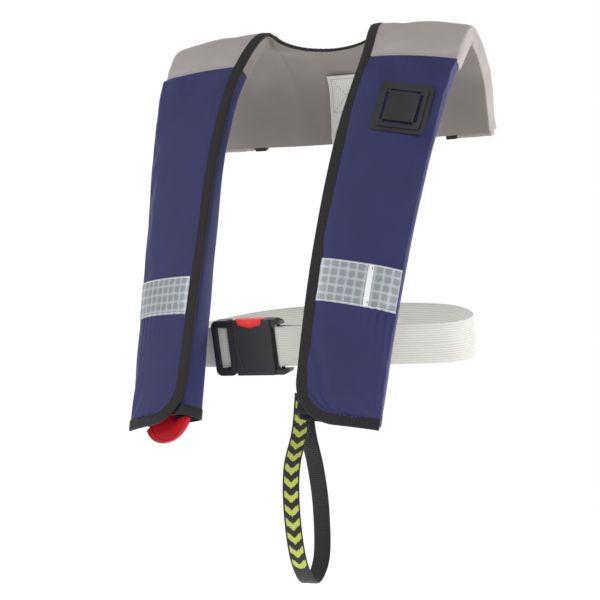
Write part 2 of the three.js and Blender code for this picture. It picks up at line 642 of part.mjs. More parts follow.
// The adjusting strap goes round the slide bar; both its ends lie along the belt.
function strapAroundBar() {
  const slide = wrap(SLIDE_BAR, -PI / 2, PI / 2);
  const tail = [14, FREE_TAIL].map((along) => bucklePoint(SLIDE_BAR.x - along, SLIDE_BAR.y + WRAP_R + along * 0.09));
  const front = [STRAP_END, STRAP_BEND].map((x) => bucklePoint(-x, SLIDE_BAR.y - WRAP_R + 2.6));
  return [...front, ...slide, ...tail];
}
const leanAt = (p) => BELT_LEAN * mix(1, 0.4, beltShare(p.y));
const beltUp = (p) => at(0, -sin(leanAt(p)), cos(leanAt(p)));
const buckleUp = () => at(0, -sin(BELT_LEAN), cos(BELT_LEAN));
add("waist_belt", ribbon(beltPath(), beltUp, WEBBING, WEBBING_THICK), WEB_GREY);
add("adjusting_strap", ribbon(strapAroundBar(), buckleUp, WEBBING, WEBBING_THICK), WEB_GREY);

// A loop sewn to the back of each lobe keeps the belt in place.
const LOOP_WIDE = 25;
const LOOP_CLEAR = 5;
const LOOP_SLACK = 12; // the belt crosses the loop at a slant

function beltLoop(side) {
  const across = rowAt(BELT_STATION).across.multiply(at(side, 1, 1));
  const half = WEBBING / 2 + LOOP_CLEAR;
  const near = GAP + WEBBING_THICK / 2;
  const far = BELT_CLEAR + 2 * WEBBING_THICK + LOOP_SLACK;
  const corners = [[-1, near], [-0.5, near], [0, near], [0.5, near], [1, near], [1, far], [0.4, far + 1],
    [-0.4, far + 1], [-1, far]];
  const path = corners.map(([z, w]) => place(side, BELT_STATION - (z * half) / LAST_SPAN, [LOOP_SHARE, 0, 1, w]));
  return ribbon(path, () => across, LOOP_WIDE, WEBBING_THICK * 0.7, true);
}
for (const [name, side] of SIDES) add(`belt_loop_${name}`, beltLoop(side), BLACK);

// The back strap is sewn to the lining, hangs from it and loops round the belt.
const STRAP_LIFT = 2; // the lining is bowed, so a flat strap touches it only along its edges
const STRAP_TOP = -0.87; // the station where the strap's sewn end starts
function strapPath() {
  const lift = WEBBING_THICK / 2 + STRAP_LIFT;
  const onLining = steps(STRAP_TOP, BACK, 6).map((t) => placeMiddle(0, t, 1, lift));
  const beltTop = BELT_HIGH + WEBBING / 2;
  const room = WEBBING_THICK + GAP + (WEBBING / 2) * sin(0.4 * BELT_LEAN) + 0.4;
  const outside = BELT_BACK + room;
  const inside = BELT_BACK - room;
  const under = steps(0, PI, 6).map((a) => {
    const mid = (outside + inside) / 2;
    return at(0, mid + ((outside - inside) / 2) * cos(a), BELT_HIGH - WEBBING / 2 - 2 - 2.5 * sin(a));
  });
  return [...onLining, at(0, mix(BACK_REACH, outside, 0.5), -200), at(0, outside - 1, beltTop + 18),
    at(0, outside, beltTop), ...under, at(0, inside, beltTop), at(0, inside + 0.6, beltTop + 12)];
}
add("back_strap", ribbon(strapPath(), () => at(1, 0, 0), WEBBING, WEBBING_THICK), WEB_GREY);

// ---------------------------------------------------------------- the buckle

const PARTING = -23; // where the tongue's frame meets the body
const BODY_END = 25;
const HOOK_END = 43;
const TONGUE_END = PARTING + TONGUE_TRAVEL - 1;
const RAIL = 6; // height of the body's top and bottom rails
const cavityFront = -BUCKLE_DEEP + 2;
const coverFront = BUCKLE_DEEP - 2;

// The adjusting half: a frame with a slot for the webbing, and a tongue that goes into the body.
function tongueFrame() {
  const frame = roundedPlate(-50, PARTING - GAP, -BUCKLE_DEEP, 4, -BUCKLE_HALF, BUCKLE_HALF, 7);
  const slot = roundedPlate(-44, PARTING - 7, -20, 20, -WEBBING / 2 - 1.5, WEBBING / 2 + 1.5, 2);
  const behindBar = block(-60, -43, -BUCKLE_DEEP + 4.2, 20, -WEBBING / 2 - 1.5, WEBBING / 2 + 1.5);
  const barSeat = block(SLIDE_BAR.x - 3, SLIDE_BAR.x + 3, SLIDE_BAR.y - BAR_R - GAP, 20, -BUCKLE_HALF + 3, BUCKLE_HALF - 3);
  const tongue = roundedPlate(PARTING - 3, TONGUE_END, -2, 2.4, -TONGUE_HALF, TONGUE_HALF, 2);
  const groove = block(TONGUE_END - 9, 10, -3, 3, -TONGUE_HALF - 1, -TONGUE_HALF + 3.5);
  return cut(join(cut(frame, slot, behindBar, barSeat), tongue), groove);
}

// The body: an open-backed shell with hooks that guard the webbing and a bar that carries it.
function buckleBody() {
  const shell = roundedPlate(PARTING, BODY_END, -BUCKLE_DEEP, BUCKLE_DEEP, -BUCKLE_HALF, BUCKLE_HALF, 1.5);
  const hook = (sign) => {
    const z = [sign * BUCKLE_HALF, sign * (BUCKLE_HALF - RAIL)];
    const end = sign > 0 ? HOOK_END - 5 : HOOK_END;
    return plate(outline([[BODY_END - 4, z[0]], [end - 8, z[0]], [end - 2, z[0] - sign * 2.4], [end, z[1]],
      [BODY_END - 4, z[1]]]), -BUCKLE_DEEP + 1.5, BUCKLE_DEEP - 1);
  };
  const bar = rod(BAR_R, -BUCKLE_HALF + 2, BUCKLE_HALF - 2, FEMALE_BAR.x, FEMALE_BAR.y, 12);
  const cavity = block(PARTING + 3, BODY_END - 4, cavityFront, 20, -BUCKLE_HALF + 4, BUCKLE_HALF - 4);
  const mouth = block(PARTING - 9, PARTING + 9, -2.6, 3, -TONGUE_HALF - 0.6, TONGUE_HALF + 0.6);
  const buttonHole = block(-19.4, 15.4, cavityFront, 4, 10, 40);
  const notch = plate(outline([[-19.4, 40], [-17.6, 25.5], [-2, 21.8], [13.6, 25.5], [15.4, 40]]), -20, 0);
  return cut(join(shell, hook(1), hook(-1), bar), cavity, mouth, buttonHole, notch);
}

const coverIn = 0.4;
add("buckle_tongue_frame", tongueFrame(), PLASTIC, 0.55, buckle);
add("buckle_body", buckleBody(), PLASTIC, 0.5, buckle);
add("buckle_back_cover", roundedPlate(PARTING + 3 + coverIn, BODY_END - 4 - coverIn, coverFront, BUCKLE_DEEP,
  -BUCKLE_HALF + 4 + coverIn, BUCKLE_HALF - 4 - coverIn, 1), PLASTIC, 0.55, buckle);
const buttonShape = outline([[-19, BUCKLE_HALF + 0.8], [-19, 16.5], [15, 16.5], [15, BUCKLE_HALF + 0.8]]);
add("release_button", plate(buttonShape, cavityFront + GAP, 3.6), 0xf53c3c, 0.4, buckle);
const latchPlate = block(-15, 10, -4.6, -2.6 - GAP, -19, 16.1);
const latchHook = block(TONGUE_END - 7.5, TONGUE_END - 2.5, -4.6, 2, -19, -TONGUE_HALF + 3);
add("buckle_latch", join(latchPlate, latchHook), 0x9a9a9a, 0.4, buckle, 0.6);
add("latch_spring", coil(2.4, 0.35, -BUCKLE_HALF + 4 + 0.2, -19.2, 3).translate(-5, -0.8, 0), 0xb0b0b0, 0.3, buckle, 0.9);
add("slide_bar", rod(BAR_R, -BUCKLE_HALF + 3.4, BUCKLE_HALF - 3.4, SLIDE_BAR.x, SLIDE_BAR.y, 12), PLASTIC, 0.5, buckle);

// ---------------------------------------------------------------- hardware frames on the lobes

// A group whose x runs to the wearer's left, y inwards and z up, lying on a lobe.
function onLobe(side, t, f, w) {
  const row = rowAt(t);
  const mirror = at(side, 1, 1);
  const inward = row.inward.clone().multiply(mirror);
  const rise = row.down.clone().multiply(mirror).negate();
  const right = inward.clone().cross(rise).normalize();
  const group = new THREE.Group();
  const basis = new THREE.Matrix4().makeBasis(right, inward, right.clone().cross(inward));
  basis.setPosition(place(side, t, [f, 0, 0, w]));
  basis.decompose(group.position, group.quaternion, group.scale);
  group.updateMatrixWorld(true);
  jacket.add(group);
  return group;
}

// ---------------------------------------------------------------- the accessory patch

const PATCH = { half: 31, thick: 3.2, window: 21.5, plate: 18, corner: 6 };

function accessoryPatch() {
  const { half, thick, window, plate: inner, corner } = PATCH;
  const base = roundedPlate(-half, half, -1.6, 0, -half, half, corner);
  const rim = roundedPlate(-half + 5, half - 5, -thick, -1, -half + 5, half - 5, 4);
  const raised = roundedPlate(-inner, inner, -thick - 1, -0.2, -inner, inner, 2);
  const opening = block(-window, window, -20, 20, -window, window);
  const bridge = (x, z) => block(x - 2.6, x + 2.6, -thick + 0.4, 0, z - 2.6, z + 2.6);
  const reach = (window + inner) / 2;
  const bridges = [[1, 1], [1, -1], [-1, 1], [-1, -1]].map(([x, z]) => bridge(x * reach, z * reach));
  return join(cut(join(base, rim), opening), raised, ...bridges);
}
const patchFrame = onLobe(1, SEAM + 0.69, 0.38, -0.5);
add("accessory_patch", accessoryPatch(), PLASTIC, 0.5, patchFrame);

// ---------------------------------------------------------------- the grab handle

// A loop of narrow webbing sewn to the neck-side wall of the left lobe, just above its hem.
const HANDLE = { x: 57, slant: 0.055, top: -424, y: -148.4, low: -628, front: -188, rear: -122, wide: -549 };

function handlePath() {
  const { x, slant, top, y, low, front, rear, wide } = HANDLE;
  const points = [[y - 2, top], [y - 13, top - 40], [front + 4, wide + 44], [front, wide - 6], [front + 12, low + 20],
    [(front + rear) / 2, low], [rear - 6, low + 22], [rear, wide], [rear - 8, wide + 45], [y + 4, top - 40],
    [y + 1, top]];
  const curve = new THREE.CatmullRomCurve3(points.map(([py, z]) => at(x + (top - z) * slant, py, z)));
  return curve.getPoints(44);
}
add("grab_handle", ribbon(handlePath(), () => at(1, 0, 0), HANDLE_WEBBING, 1.8), BLACK);

// ---------------------------------------------------------------- the inflator, in the right lobe

const gear = onLobe(-1, up(INFLATOR_UP), 0.4, 16);
const SLOT_Y = -3; // the lever, pin and cylinder share this plane
const AXIS_X = 3; // the cylinder's and the pin's axis
const PIVOT = { x: 6, z: -9, r: 1.5, hub: 4.2 };
const STEM = { x: -9, z: -6, r: 4, nut: 6.5 };
const SOCKET = 9; // height at which the cylinder's neck starts
const PIN_TRAVEL = 3.5;
const half = INFLATOR.clone().multiplyScalar(0.5);

function inflatorBody() {
  const body = roundedPlate(-half.x, half.x, -half.y, half.y, -half.z, half.z, 5);
  const socket = rod(NECK_R + GAP, SOCKET, half.z + 5, AXIS_X, SLOT_Y);
  const pinBore = rod(2.2, -4, SOCKET + 1, AXIS_X, SLOT_Y, 12);
  const slot = block(PIVOT.x - PIVOT.hub - 1, half.x + 5, SLOT_Y - 2.3, SLOT_Y + 2.3, -half.z - 5, -3.6);
  const sweep = block(PIVOT.x + 1, half.x + 5, SLOT_Y - 2.3, SLOT_Y + 2.3, -6, 7.5);
  const pivotBore = rod(PIVOT.r + 0.15, -half.y - 5, half.y + 5, 0, 0, 12).rotateX(PI / 2).translate(PIVOT.x, 0, PIVOT.z);
  const stemBore = rod(STEM.r + GAP, -half.y - 5, half.y + 5, 0, 0, 16).rotateX(PI / 2).translate(STEM.x, 0, STEM.z);
  const nutSeat = rod(STEM.nut + 0.8, half.y - 4, half.y + 5, 0, 0).rotateX(PI / 2).translate(STEM.x, 0, STEM.z);
  return cut(body, socket, pinBore, slot, sweep, pivotBore, stemBore, nutSeat);
}
add("inflator_body", inflatorBody(), 0x3a3c40, 0.5, gear);

function gasCylinder() {
  const top = SOCKET + GAP + CYLINDER_LONG;
  const shoulder = half.z + 1;
  const r = CYLINDER_R;
  const profile = [[0, SOCKET + GAP], [NECK_R, SOCKET + GAP], [NECK_R, shoulder], [NECK_R + 1, shoulder + 1.5],
    [r - 1, shoulder + 7], [r, shoulder + 10], [r, top - 8], [r - 2, top - 3], [r - 6, top], [0, top]];
  return turned(profile).translate(AXIS_X, SLOT_Y, 0);
}
add("gas_cylinder", gasCylinder(), 0x9aa0a4, 0.35, gear, 0.8);

const pinLow = PIVOT.z + PIVOT.hub + GAP;
const pinTop = SOCKET - PIN_TRAVEL;
add("piercing_pin", turned([[0, pinLow], [1.8, pinLow], [1.8, pinTop - 4], [0.9, pinTop - 3], [0, pinTop]], 12)
  .translate(AXIS_X, SLOT_Y, 0), 0xc0c0c0, 0.3, gear, 0.9);
add("lever_pin", rod(PIVOT.r, -half.y + 0.5, half.y - 0.5, 0, 0, 12).rotateX(PI / 2).translate(PIVOT.x, 0, PIVOT.z),
  0xc0c0c0, 0.3, gear, 0.9);

function triggerLever() {
  const arm = roundedPlate(0, LEVER_LONG + 3, -1.9, 1.9, -2.6, 2.6, 2.5).rotateY(-LEVER_RISE);
  const hub = rod(PIVOT.hub, -1.9, 1.9, 0, 0, 16).rotateX(PI / 2);
  const bore = rod(PIVOT.r + 0.15, -5, 5, 0, 0, 12).rotateX(PI / 2);
  return cut(join(arm, hub), bore).translate(PIVOT.x, SLOT_Y, PIVOT.z);
}
add("trigger_lever", triggerLever(), 0xc8102e, 0.45, gear);

// The water sensor: a cartridge in a screwed cap on the body's outer end.
const CAP = { r: 9, wall: 1.6, long: 13 };
const capProfile = [[0, CAP.long], [CAP.r - 1, CAP.long], [CAP.r, CAP.long - 1], [CAP.r, 0], [CAP.r - CAP.wall, 0],
  [CAP.r - CAP.wall, CAP.long - CAP.wall], [0, CAP.long - CAP.wall]];
const toOuterEnd = (geometry) => geometry.rotateY(-PI / 2).translate(-half.x - GAP, 0, 1);
add("sensor_cap", toOuterEnd(turned(capProfile)), 0x4c5054, 0.5, gear);
add("water_cartridge", toOuterEnd(rod(CAP.r - CAP.wall - GAP, 0.2, CAP.long - CAP.wall - GAP)), 0xe6d23c, 0.6, gear);
add("status_indicator", roundedPlate(4, 14, -half.y - 1.3, -half.y - GAP, 8.5, 14, 1.5), 0x28a050, 0.4, gear);

const DISC = 1.8;
const discFront = half.y + GAP + 1.2;
const disc = rod(15, -discFront - DISC, -discFront, 0, 0).rotateX(PI / 2);
const stem = rod(STEM.r, -discFront - 0.5, half.y - 1, 0, 0, 16).rotateX(PI / 2);
const gasket = cut(rod(9, -discFront + GAP / 2, -half.y - GAP / 2), rod(STEM.r + GAP, -50, 50, 0, 0, 16)).rotateX(PI / 2);
const atStem = (geometry) => geometry.translate(STEM.x, 0, STEM.z);
add("bladder_manifold", atStem(join(disc, stem)), 0x2c2a2c, 0.5, gear);
add("manifold_gasket", atStem(gasket), 0x181818, 0.8, gear);
const nut = cut(rod(STEM.nut, half.y - 3.6, half.y - 0.4, 0, 0, 6), rod(STEM.r + 0.15, -50, 50, 0, 0, 16)).rotateX(PI / 2);
add("manifold_nut", atStem(nut), 0xb8b8b8, 0.35, gear, 0.8);

// The pull handle hangs on a cord from the lever and shows below the hem.
const TAB = { up: 14, across: 0.57, rx: 40, rz: 31, thick: 4 };
const tabFrame = onLobe(-1, up(TAB.up), TAB.across, 18);

function pullTab() {
  const shape = new THREE.Shape();
  shape.absellipse(0, 0, TAB.rx, TAB.rz, 1.14 * PI, 1.93 * PI, false, 0);
  shape.quadraticCurveTo(27, -2, 18, -8);
  shape.quadraticCurveTo(10, -11, 8, 2);
  shape.lineTo(7, 25);
  shape.lineTo(-5, 25);
  shape.quadraticCurveTo(-7, 4, -20, -3);
  return plate(shape, -TAB.thick / 2, TAB.thick / 2);
}
add("pull_handle", pullTab(), 0xbe0019, 0.35, tabFrame);

// The cord's points: from the lever's end down to the handle's stem.
const leverEnd = at(PIVOT.x + (LEVER_LONG - 1) * cos(LEVER_RISE), SLOT_Y, PIVOT.z + (LEVER_LONG - 1) * sin(LEVER_RISE) - 4.2);
const cordTop = leverEnd.clone().applyMatrix4(gear.matrixWorld);
const cordEnd = at(1, 0, 26).applyMatrix4(tabFrame.matrixWorld);
const cordMid = cordTop.clone().lerp(cordEnd, 0.5);
add("pull_cord", cord([cordTop, cordMid, cordEnd], 1.3), 0xbe0019, 0.7);

// ---------------------------------------------------------------- the oral tube and whistle, in the left lobe

const oral = onLobe(1, up(96), 0.36, 16);
function oralTube() {
  const flange = rod(13, -12.6, -11, 0, 0).rotateX(PI / 2);
  const elbow = rod(TUBE_R, -12, 0, 0, 0, 16).rotateX(PI / 2);
  const tube = join(rod(TUBE_R, -TUBE_R, TUBE_LONG, 0, 0, 16), elbow, flange);
  return cut(tube, rod(TUBE_BORE, 4, TUBE_LONG + 5, 0, 0, 16));
}
add("oral_tube", oralTube(), 0x303236, 0.6, oral);
const SEAT = TUBE_LONG - 14;
const POPPET_TRAVEL = 3;
add("oral_valve_poppet", turned([[0, SEAT], [3.4, SEAT], [3.4, SEAT + 2.4], [1.5, SEAT + 2.4], [1.5, TUBE_LONG - 1],
  [0, TUBE_LONG - 1]], 12), 0xd8d8d0, 0.4, oral);
add("oral_valve_spring", coil(2.6, 0.35, 4.3, SEAT - GAP, 6), 0xb0b0b0, 0.3, oral, 0.9);
const MOUTH = { r: 8, long: 15, lift: 1.2 };
const capTop = TUBE_LONG + MOUTH.lift + 1.6;
add("oral_cap", turned([[0, capTop], [MOUTH.r - 1, capTop], [MOUTH.r, capTop - 1], [MOUTH.r, capTop - MOUTH.long],
  [TUBE_R + GAP, capTop - MOUTH.long], [TUBE_R + GAP, TUBE_LONG + MOUTH.lift], [0, TUBE_LONG + MOUTH.lift]], 16),
  0x1c1c1c, 0.5, oral);

const WHISTLE = at(21, 2, -6);
function whistleBody() {
  const barrel = rod(7, -6, 6, 0, 0).rotateX(PI / 2);
  const mouthpiece = block(-2, 4.5, -5, 5, 0, 26);
  const windway = block(-0.5, 3, -3.5, 3.5, 6, 40);
  const window = block(3, 10, -3.5, 3.5, 5, 9);
  return cut(join(barrel, mouthpiece), windway, window).translate(WHISTLE.x, WHISTLE.y, WHISTLE.z);
}
add("whistle", whistleBody(), 0xe8862a, 0.4, oral);
const tether = [at(TUBE_R + 1 + GAP, -2, 6), at(11, -3, 16), at(15, 0, 4), at(WHISTLE.x - 8.5, 0, WHISTLE.z)];
add("whistle_cord", cord(tether, 1), 0x202020, 0.8, oral);

export default jacket;
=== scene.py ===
# %% [markdown]
# An inflatable life jacket. The solid model of the jacket, with its moving parts, is loaded first.
# Everything below is dressed around it, in metres, in the same frame: +X is the wearer's left,
# +Y the wearer's back and +Z up, with the origin between the tops of the shoulders.

# %% Load the jacket
import math
from itertools import permutations

import bmesh
import bpy
from mathutils import Matrix, Vector, noise
from mathutils.bvhtree import BVHTree


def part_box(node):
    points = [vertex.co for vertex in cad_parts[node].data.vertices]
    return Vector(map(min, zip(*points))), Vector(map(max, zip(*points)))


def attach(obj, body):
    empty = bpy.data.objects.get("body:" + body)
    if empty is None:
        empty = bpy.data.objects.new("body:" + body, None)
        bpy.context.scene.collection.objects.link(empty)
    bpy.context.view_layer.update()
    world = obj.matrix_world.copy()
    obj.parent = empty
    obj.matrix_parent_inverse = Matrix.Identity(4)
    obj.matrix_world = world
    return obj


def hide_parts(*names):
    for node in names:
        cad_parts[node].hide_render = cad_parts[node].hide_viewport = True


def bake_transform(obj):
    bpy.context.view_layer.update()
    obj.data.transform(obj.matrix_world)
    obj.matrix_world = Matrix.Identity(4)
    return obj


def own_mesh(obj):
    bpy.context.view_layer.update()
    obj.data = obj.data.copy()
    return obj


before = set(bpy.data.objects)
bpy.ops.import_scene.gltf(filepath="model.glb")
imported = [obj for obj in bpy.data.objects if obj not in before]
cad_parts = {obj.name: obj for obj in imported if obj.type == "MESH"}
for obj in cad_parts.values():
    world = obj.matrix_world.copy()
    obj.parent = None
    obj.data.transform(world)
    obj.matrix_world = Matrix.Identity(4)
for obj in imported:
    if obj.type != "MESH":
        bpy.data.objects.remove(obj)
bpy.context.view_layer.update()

# %% [markdown]
# The camera comes first, so that every piece can be judged from one place. A long lens from almost
# three metres keeps the two edges of the webbing nearly parallel.

# %% Camera
TARGET = Vector((0, -0.029, -0.310))
AZIMUTH = math.radians(28.3)
ELEVATION = math.radians(-3.3)
DISTANCE = 2.814

back = Vector((
    math.sin(AZIMUTH) * math.cos(ELEVATION),
    -math.cos(AZIMUTH) * math.cos(ELEVATION),
    math.sin(ELEVATION),
))
bpy.ops.object.camera_add(location=TARGET + back * DISTANCE)
camera = bpy.context.object
camera.rotation_mode = "QUATERNION"
camera.rotation_quaternion = (-back).to_track_quat("-Z", "Y")
camera.data.lens = 148.1
camera.data.shift_x = -0.0165
camera.data.shift_y = -0.0085
bpy.context.scene.camera = camera
print("camera at", tuple(round(c, 2) for c in camera.location))

# %% [markdown]
# A white sweep and broad soft lamps give the even, almost shadowless light of a catalogue page.
# The floor is bright enough to run into the white room with no horizon.

# %% Sweep and lamps
FLOOR_HEIGHT = -0.80
ROOM_LIGHT = 0.42  # the room itself is white, but it lights the jacket only gently
SWEEP_GLOW = 0.64  # lifts the paper to the white of the room


def deselect():
    """Operators act on all that is selected, so nothing may be left selected."""
    if bpy.context.object and bpy.context.object.mode != "OBJECT":
        bpy.ops.object.mode_set(mode="OBJECT")
    bpy.ops.object.select_all(action="DESELECT")


def add_lamp(name, place, aim, size, power):
    """A square soft box that faces a point."""
    bpy.ops.object.light_add(type="AREA", location=place)
    lamp = bpy.context.object
    lamp.name = name
    lamp.data.energy = power
    lamp.data.size = size
    lamp.rotation_mode = "QUATERNION"
    lamp.rotation_quaternion = (Vector(aim) - Vector(place)).to_track_quat("-Z", "Y")


deselect()
bpy.ops.mesh.primitive_plane_add(size=14, location=(0, 0, FLOOR_HEIGHT))
sweep = bpy.context.object
sweep.name = "sweep"
add_lamp("key", (-1.5, -2.6, 1.5), TARGET, 1.6, 30)
add_lamp("fill", (2.6, -1.6, 0.4), TARGET, 1.8, 15)
add_lamp("rim", (1.7, 1.9, 0.7), TARGET, 1.2, 40)
add_lamp("rim_right", (-1.9, 1.5, 0.6), TARGET, 1.2, 20)
bpy.context.scene.view_settings.view_transform = "Standard"
world = bpy.data.worlds.new("white room")
world.use_nodes = True
background = world.node_tree.nodes["Background"]
background.inputs["Color"].default_value = (1, 1, 1, 1)
seen = world.node_tree.nodes.new("ShaderNodeLightPath")
strength = world.node_tree.nodes.new("ShaderNodeMapRange")
strength.inputs["To Min"].default_value = ROOM_LIGHT
strength.inputs["To Max"].default_value = 1.0
world.node_tree.links.new(seen.outputs["Is Camera Ray"], strength.inputs["Value"])
world.node_tree.links.new(strength.outputs["Result"], background.inputs["Strength"])
bpy.context.scene.world = world

# %% [markdown]
# Every colour is written as it looks on a screen and turned into light values once, here.
# A material is a chain of nodes, and one small function adds a node, its settings and its links.

# %% Material helpers
def srgb(code):
    """A screen colour such as "a89e9b" as linear light."""
    channels = [int(code[i:i + 2], 16) / 255 for i in (0, 2, 4)]
    linear = [c / 12.92 if c <= 0.04045 else ((c + 0.055) / 1.055) ** 2.4 for c in channels]
    return (*linear, 1.0)


def add_node(tree, kind, inputs=None, **settings):
    """Adds a shader node. An input is a value, or a (node, output) pair to link it to."""
    made = tree.nodes.new("ShaderNode" + kind)
    for key, value in settings.items():
        setattr(made, key, value)
    for key, value in (inputs or {}).items():
        if isinstance(value, tuple) and isinstance(value[0], bpy.types.Node):
            tree.links.new(value[0].outputs[value[1]], made.inputs[key])
        else:
            made.inputs[key].default_value = value
    return made


def start_material(name, roughness, **sockets):
    """A new material with its shader; sockets are constants on the shader, such as sheen."""
    material = bpy.data.materials.new(name)
    material.use_nodes = True
    tree = material.node_tree
    shader = tree.nodes["Principled BSDF"]
    shader.inputs["Roughness"].default_value = roughness
    for key, value in sockets.items():
        shader.inputs[key.replace("_", " ")].default_value = value
    return material, tree, shader


def colour_between(tree, share, low, high, from_low=0.0, from_high=1.0):
    """A colour that runs from low to high as share goes from from_low to from_high."""
    ramp = add_node(tree, "ValToRGB", {"Fac": share})
    ramp.color_ramp.elements[0].position = from_low
    ramp.color_ramp.elements[0].color = srgb(low)
    ramp.color_ramp.elements[1].position = from_high
    ramp.color_ramp.elements[1].color = srgb(high)
    return ramp


def finish_surface(tree, shader, colour, height, depth, strength):
    """Colour and relief reach the shader, each from a (node, output) pair."""
    bump = add_node(tree, "Bump", {"Height": height, "Distance": depth, "Strength": strength})
    for (source, output), socket in ((colour, "Base Color"), ((bump, "Normal"), "Normal")):
        tree.links.new(source.outputs[output], shader.inputs[socket])


# %% [markdown]
# Cloth and webbing carry a map of themselves in metres: u runs across the piece and v along it.
# A thread pattern drawn on that map keeps its real scale and follows the cloth round every bend.
# Threads finer than a millimetre can't be seen from three metres, so they are drawn a little coarse.

# %% Woven materials
def map_place(tree):
    """The place on a piece's own weave map: X across it and Y along it."""
    uv = add_node(tree, "UVMap", uv_map="weave")
    return add_node(tree, "SeparateXYZ", {"Vector": (uv, "UV")})


def weave_height(tree, pitch):
    """The height of a plain weave with threads this far apart, from 0 to 1."""
    split = map_place(tree)
    waves = []
    for axis in "XY":
        turns = add_node(tree, "Math", {0: (split, axis), 1: 2 * math.pi / pitch}, operation="MULTIPLY")
        waves.append(add_node(tree, "Math", {0: (turns, 0)}, operation="SINE"))
    woven = add_node(tree, "Math", {0: (waves[0], 0), 1: (waves[1], 0)}, operation="MULTIPLY")
    return add_node(tree, "Math", {0: (woven, 0), 1: 0.5, 2: 0.5}, operation="MULTIPLY_ADD")


def rib_height(tree, pitch, axis="Y"):
    """The height of ribs this far apart, across the piece (Y) or along it (X)."""
    turns = add_node(tree, "Math", {0: (map_place(tree), axis), 1: 2 * math.pi / pitch}, operation="MULTIPLY")
    wave = add_node(tree, "Math", {0: (turns, 0)}, operation="SINE")
    return add_node(tree, "Math", {0: (wave, 0), 1: 0.5, 2: 0.5}, operation="MULTIPLY_ADD")


def blotches(tree, scale, detail=4.0):
    """Slow variation over the piece, as dye and handling leave it."""
    place = add_node(tree, "TexCoord")
    return add_node(tree, "TexNoise", {"Vector": (place, "Object"), "Scale": scale, "Detail": detail})


def woven_cloth(name, dark, light, pitch, depth, roughness, **sockets):
    """A woven cloth whose threads and slow variation both touch its colour and its surface."""
    material, tree, shader = start_material(name, roughness, **sockets)
    threads = weave_height(tree, pitch)
    slow = blotches(tree, 22.0)
    fine = blotches(tree, 900.0, 2.0)
    both = add_node(tree, "Math", {0: (slow, "Fac"), 1: (threads, 0)}, operation="ADD")
    grain = add_node(tree, "Math", {0: (fine, "Fac"), 1: 0.6, 2: (both, 0)}, operation="MULTIPLY_ADD")
    share = add_node(tree, "Math", {0: (grain, 0), 1: 0.42}, operation="MULTIPLY")
    colour = colour_between(tree, (share, 0), dark, light, 0.25, 0.85)
    relief = add_node(tree, "Math", {0: (fine, "Fac"), 1: 0.5, 2: (threads, 0)}, operation="MULTIPLY_ADD")
    finish_surface(tree, shader, (colour, "Color"), (relief, 0), depth, 0.8)
    return material


def ribbed_tape(name, dark, light, pitch, depth, roughness, axis="Y", **sockets):
    """A ribbed narrow weave, such as binding or belt webbing."""
    material, tree, shader = start_material(name, roughness, **sockets)
    ribs = rib_height(tree, pitch, axis)
    fine = blotches(tree, 700.0, 2.0)
    slow = blotches(tree, 14.0)
    worn = add_node(tree, "Math", {0: (slow, "Fac"), 1: 0.5, 2: (ribs, 0)}, operation="MULTIPLY_ADD")
    share = add_node(tree, "Math", {0: (fine, "Fac"), 1: 0.5, 2: (worn, 0)}, operation="MULTIPLY_ADD")
    colour = colour_between(tree, (share, 0), dark, light, 0.35, 1.35)
    finish_surface(tree, shader, (colour, "Color"), (share, 0), depth, 0.9)
    return material


SOFT_SHEEN = {"Sheen_Weight": 0.2, "Sheen_Roughness": 0.5}
navy_oxford = woven_cloth("coated navy oxford polyester", "1c1d48", "292b65", 0.0022, 0.00016, 0.66,
                          Sheen_Weight=0.22, Sheen_Roughness=0.45, Sheen_Tint=srgb("9a98d8"))
grey_oxford = woven_cloth("grey laminated oxford polyester", "958e8c", "b5aeab", 0.0022, 0.00012, 0.7,
                          **SOFT_SHEEN)
lining_twill = woven_cloth("warm grey lining twill", "78726c", "98918a", 0.0018, 0.00008, 0.75, **SOFT_SHEEN)
bladder_nylon = woven_cloth("orange urethane coated nylon", "a8620f", "cf8526", 0.0012, 0.00005, 0.38,
                            Coat_Weight=0.3, Coat_Roughness=0.3)
black_grosgrain = ribbed_tape("black grosgrain binding", "0e0c0d", "1d1a1b", 0.0024, 0.0002, 0.8,
                              Sheen_Weight=0.08, Sheen_Roughness=0.4)
belt_polyester = ribbed_tape("light grey belt webbing", "bdbcb5", "d4d3cd", 0.0026, 0.00014, 0.7,
                             "X", **SOFT_SHEEN)
hook_and_loop = woven_cloth("black hook and loop tape", "121213", "2c2c2f", 0.0016, 0.0006, 0.85)
print("cloths:", len(bpy.data.materials))

# %% [markdown]
# The reflective tape is a silver film over small sealed cells, so it shows rounded grey cells on a
# brighter net. The handle's webbing is black with a block pattern woven in a second colour: each
# block is drawn thread by thread, which is why its edges are stepped.

# %% Tape and patterned webbing
CELL = 0.0098  # spacing of the tape's cells
BLOCK = 0.0148  # length of one woven chevron and its gap
THREAD = 0.0011
STROKE = 0.0070  # the yellow part of each block
PATTERN_HALF = 0.0082  # the pattern stops short of the webbing's edges
PATTERN_END = 0.198  # and of its sewn end


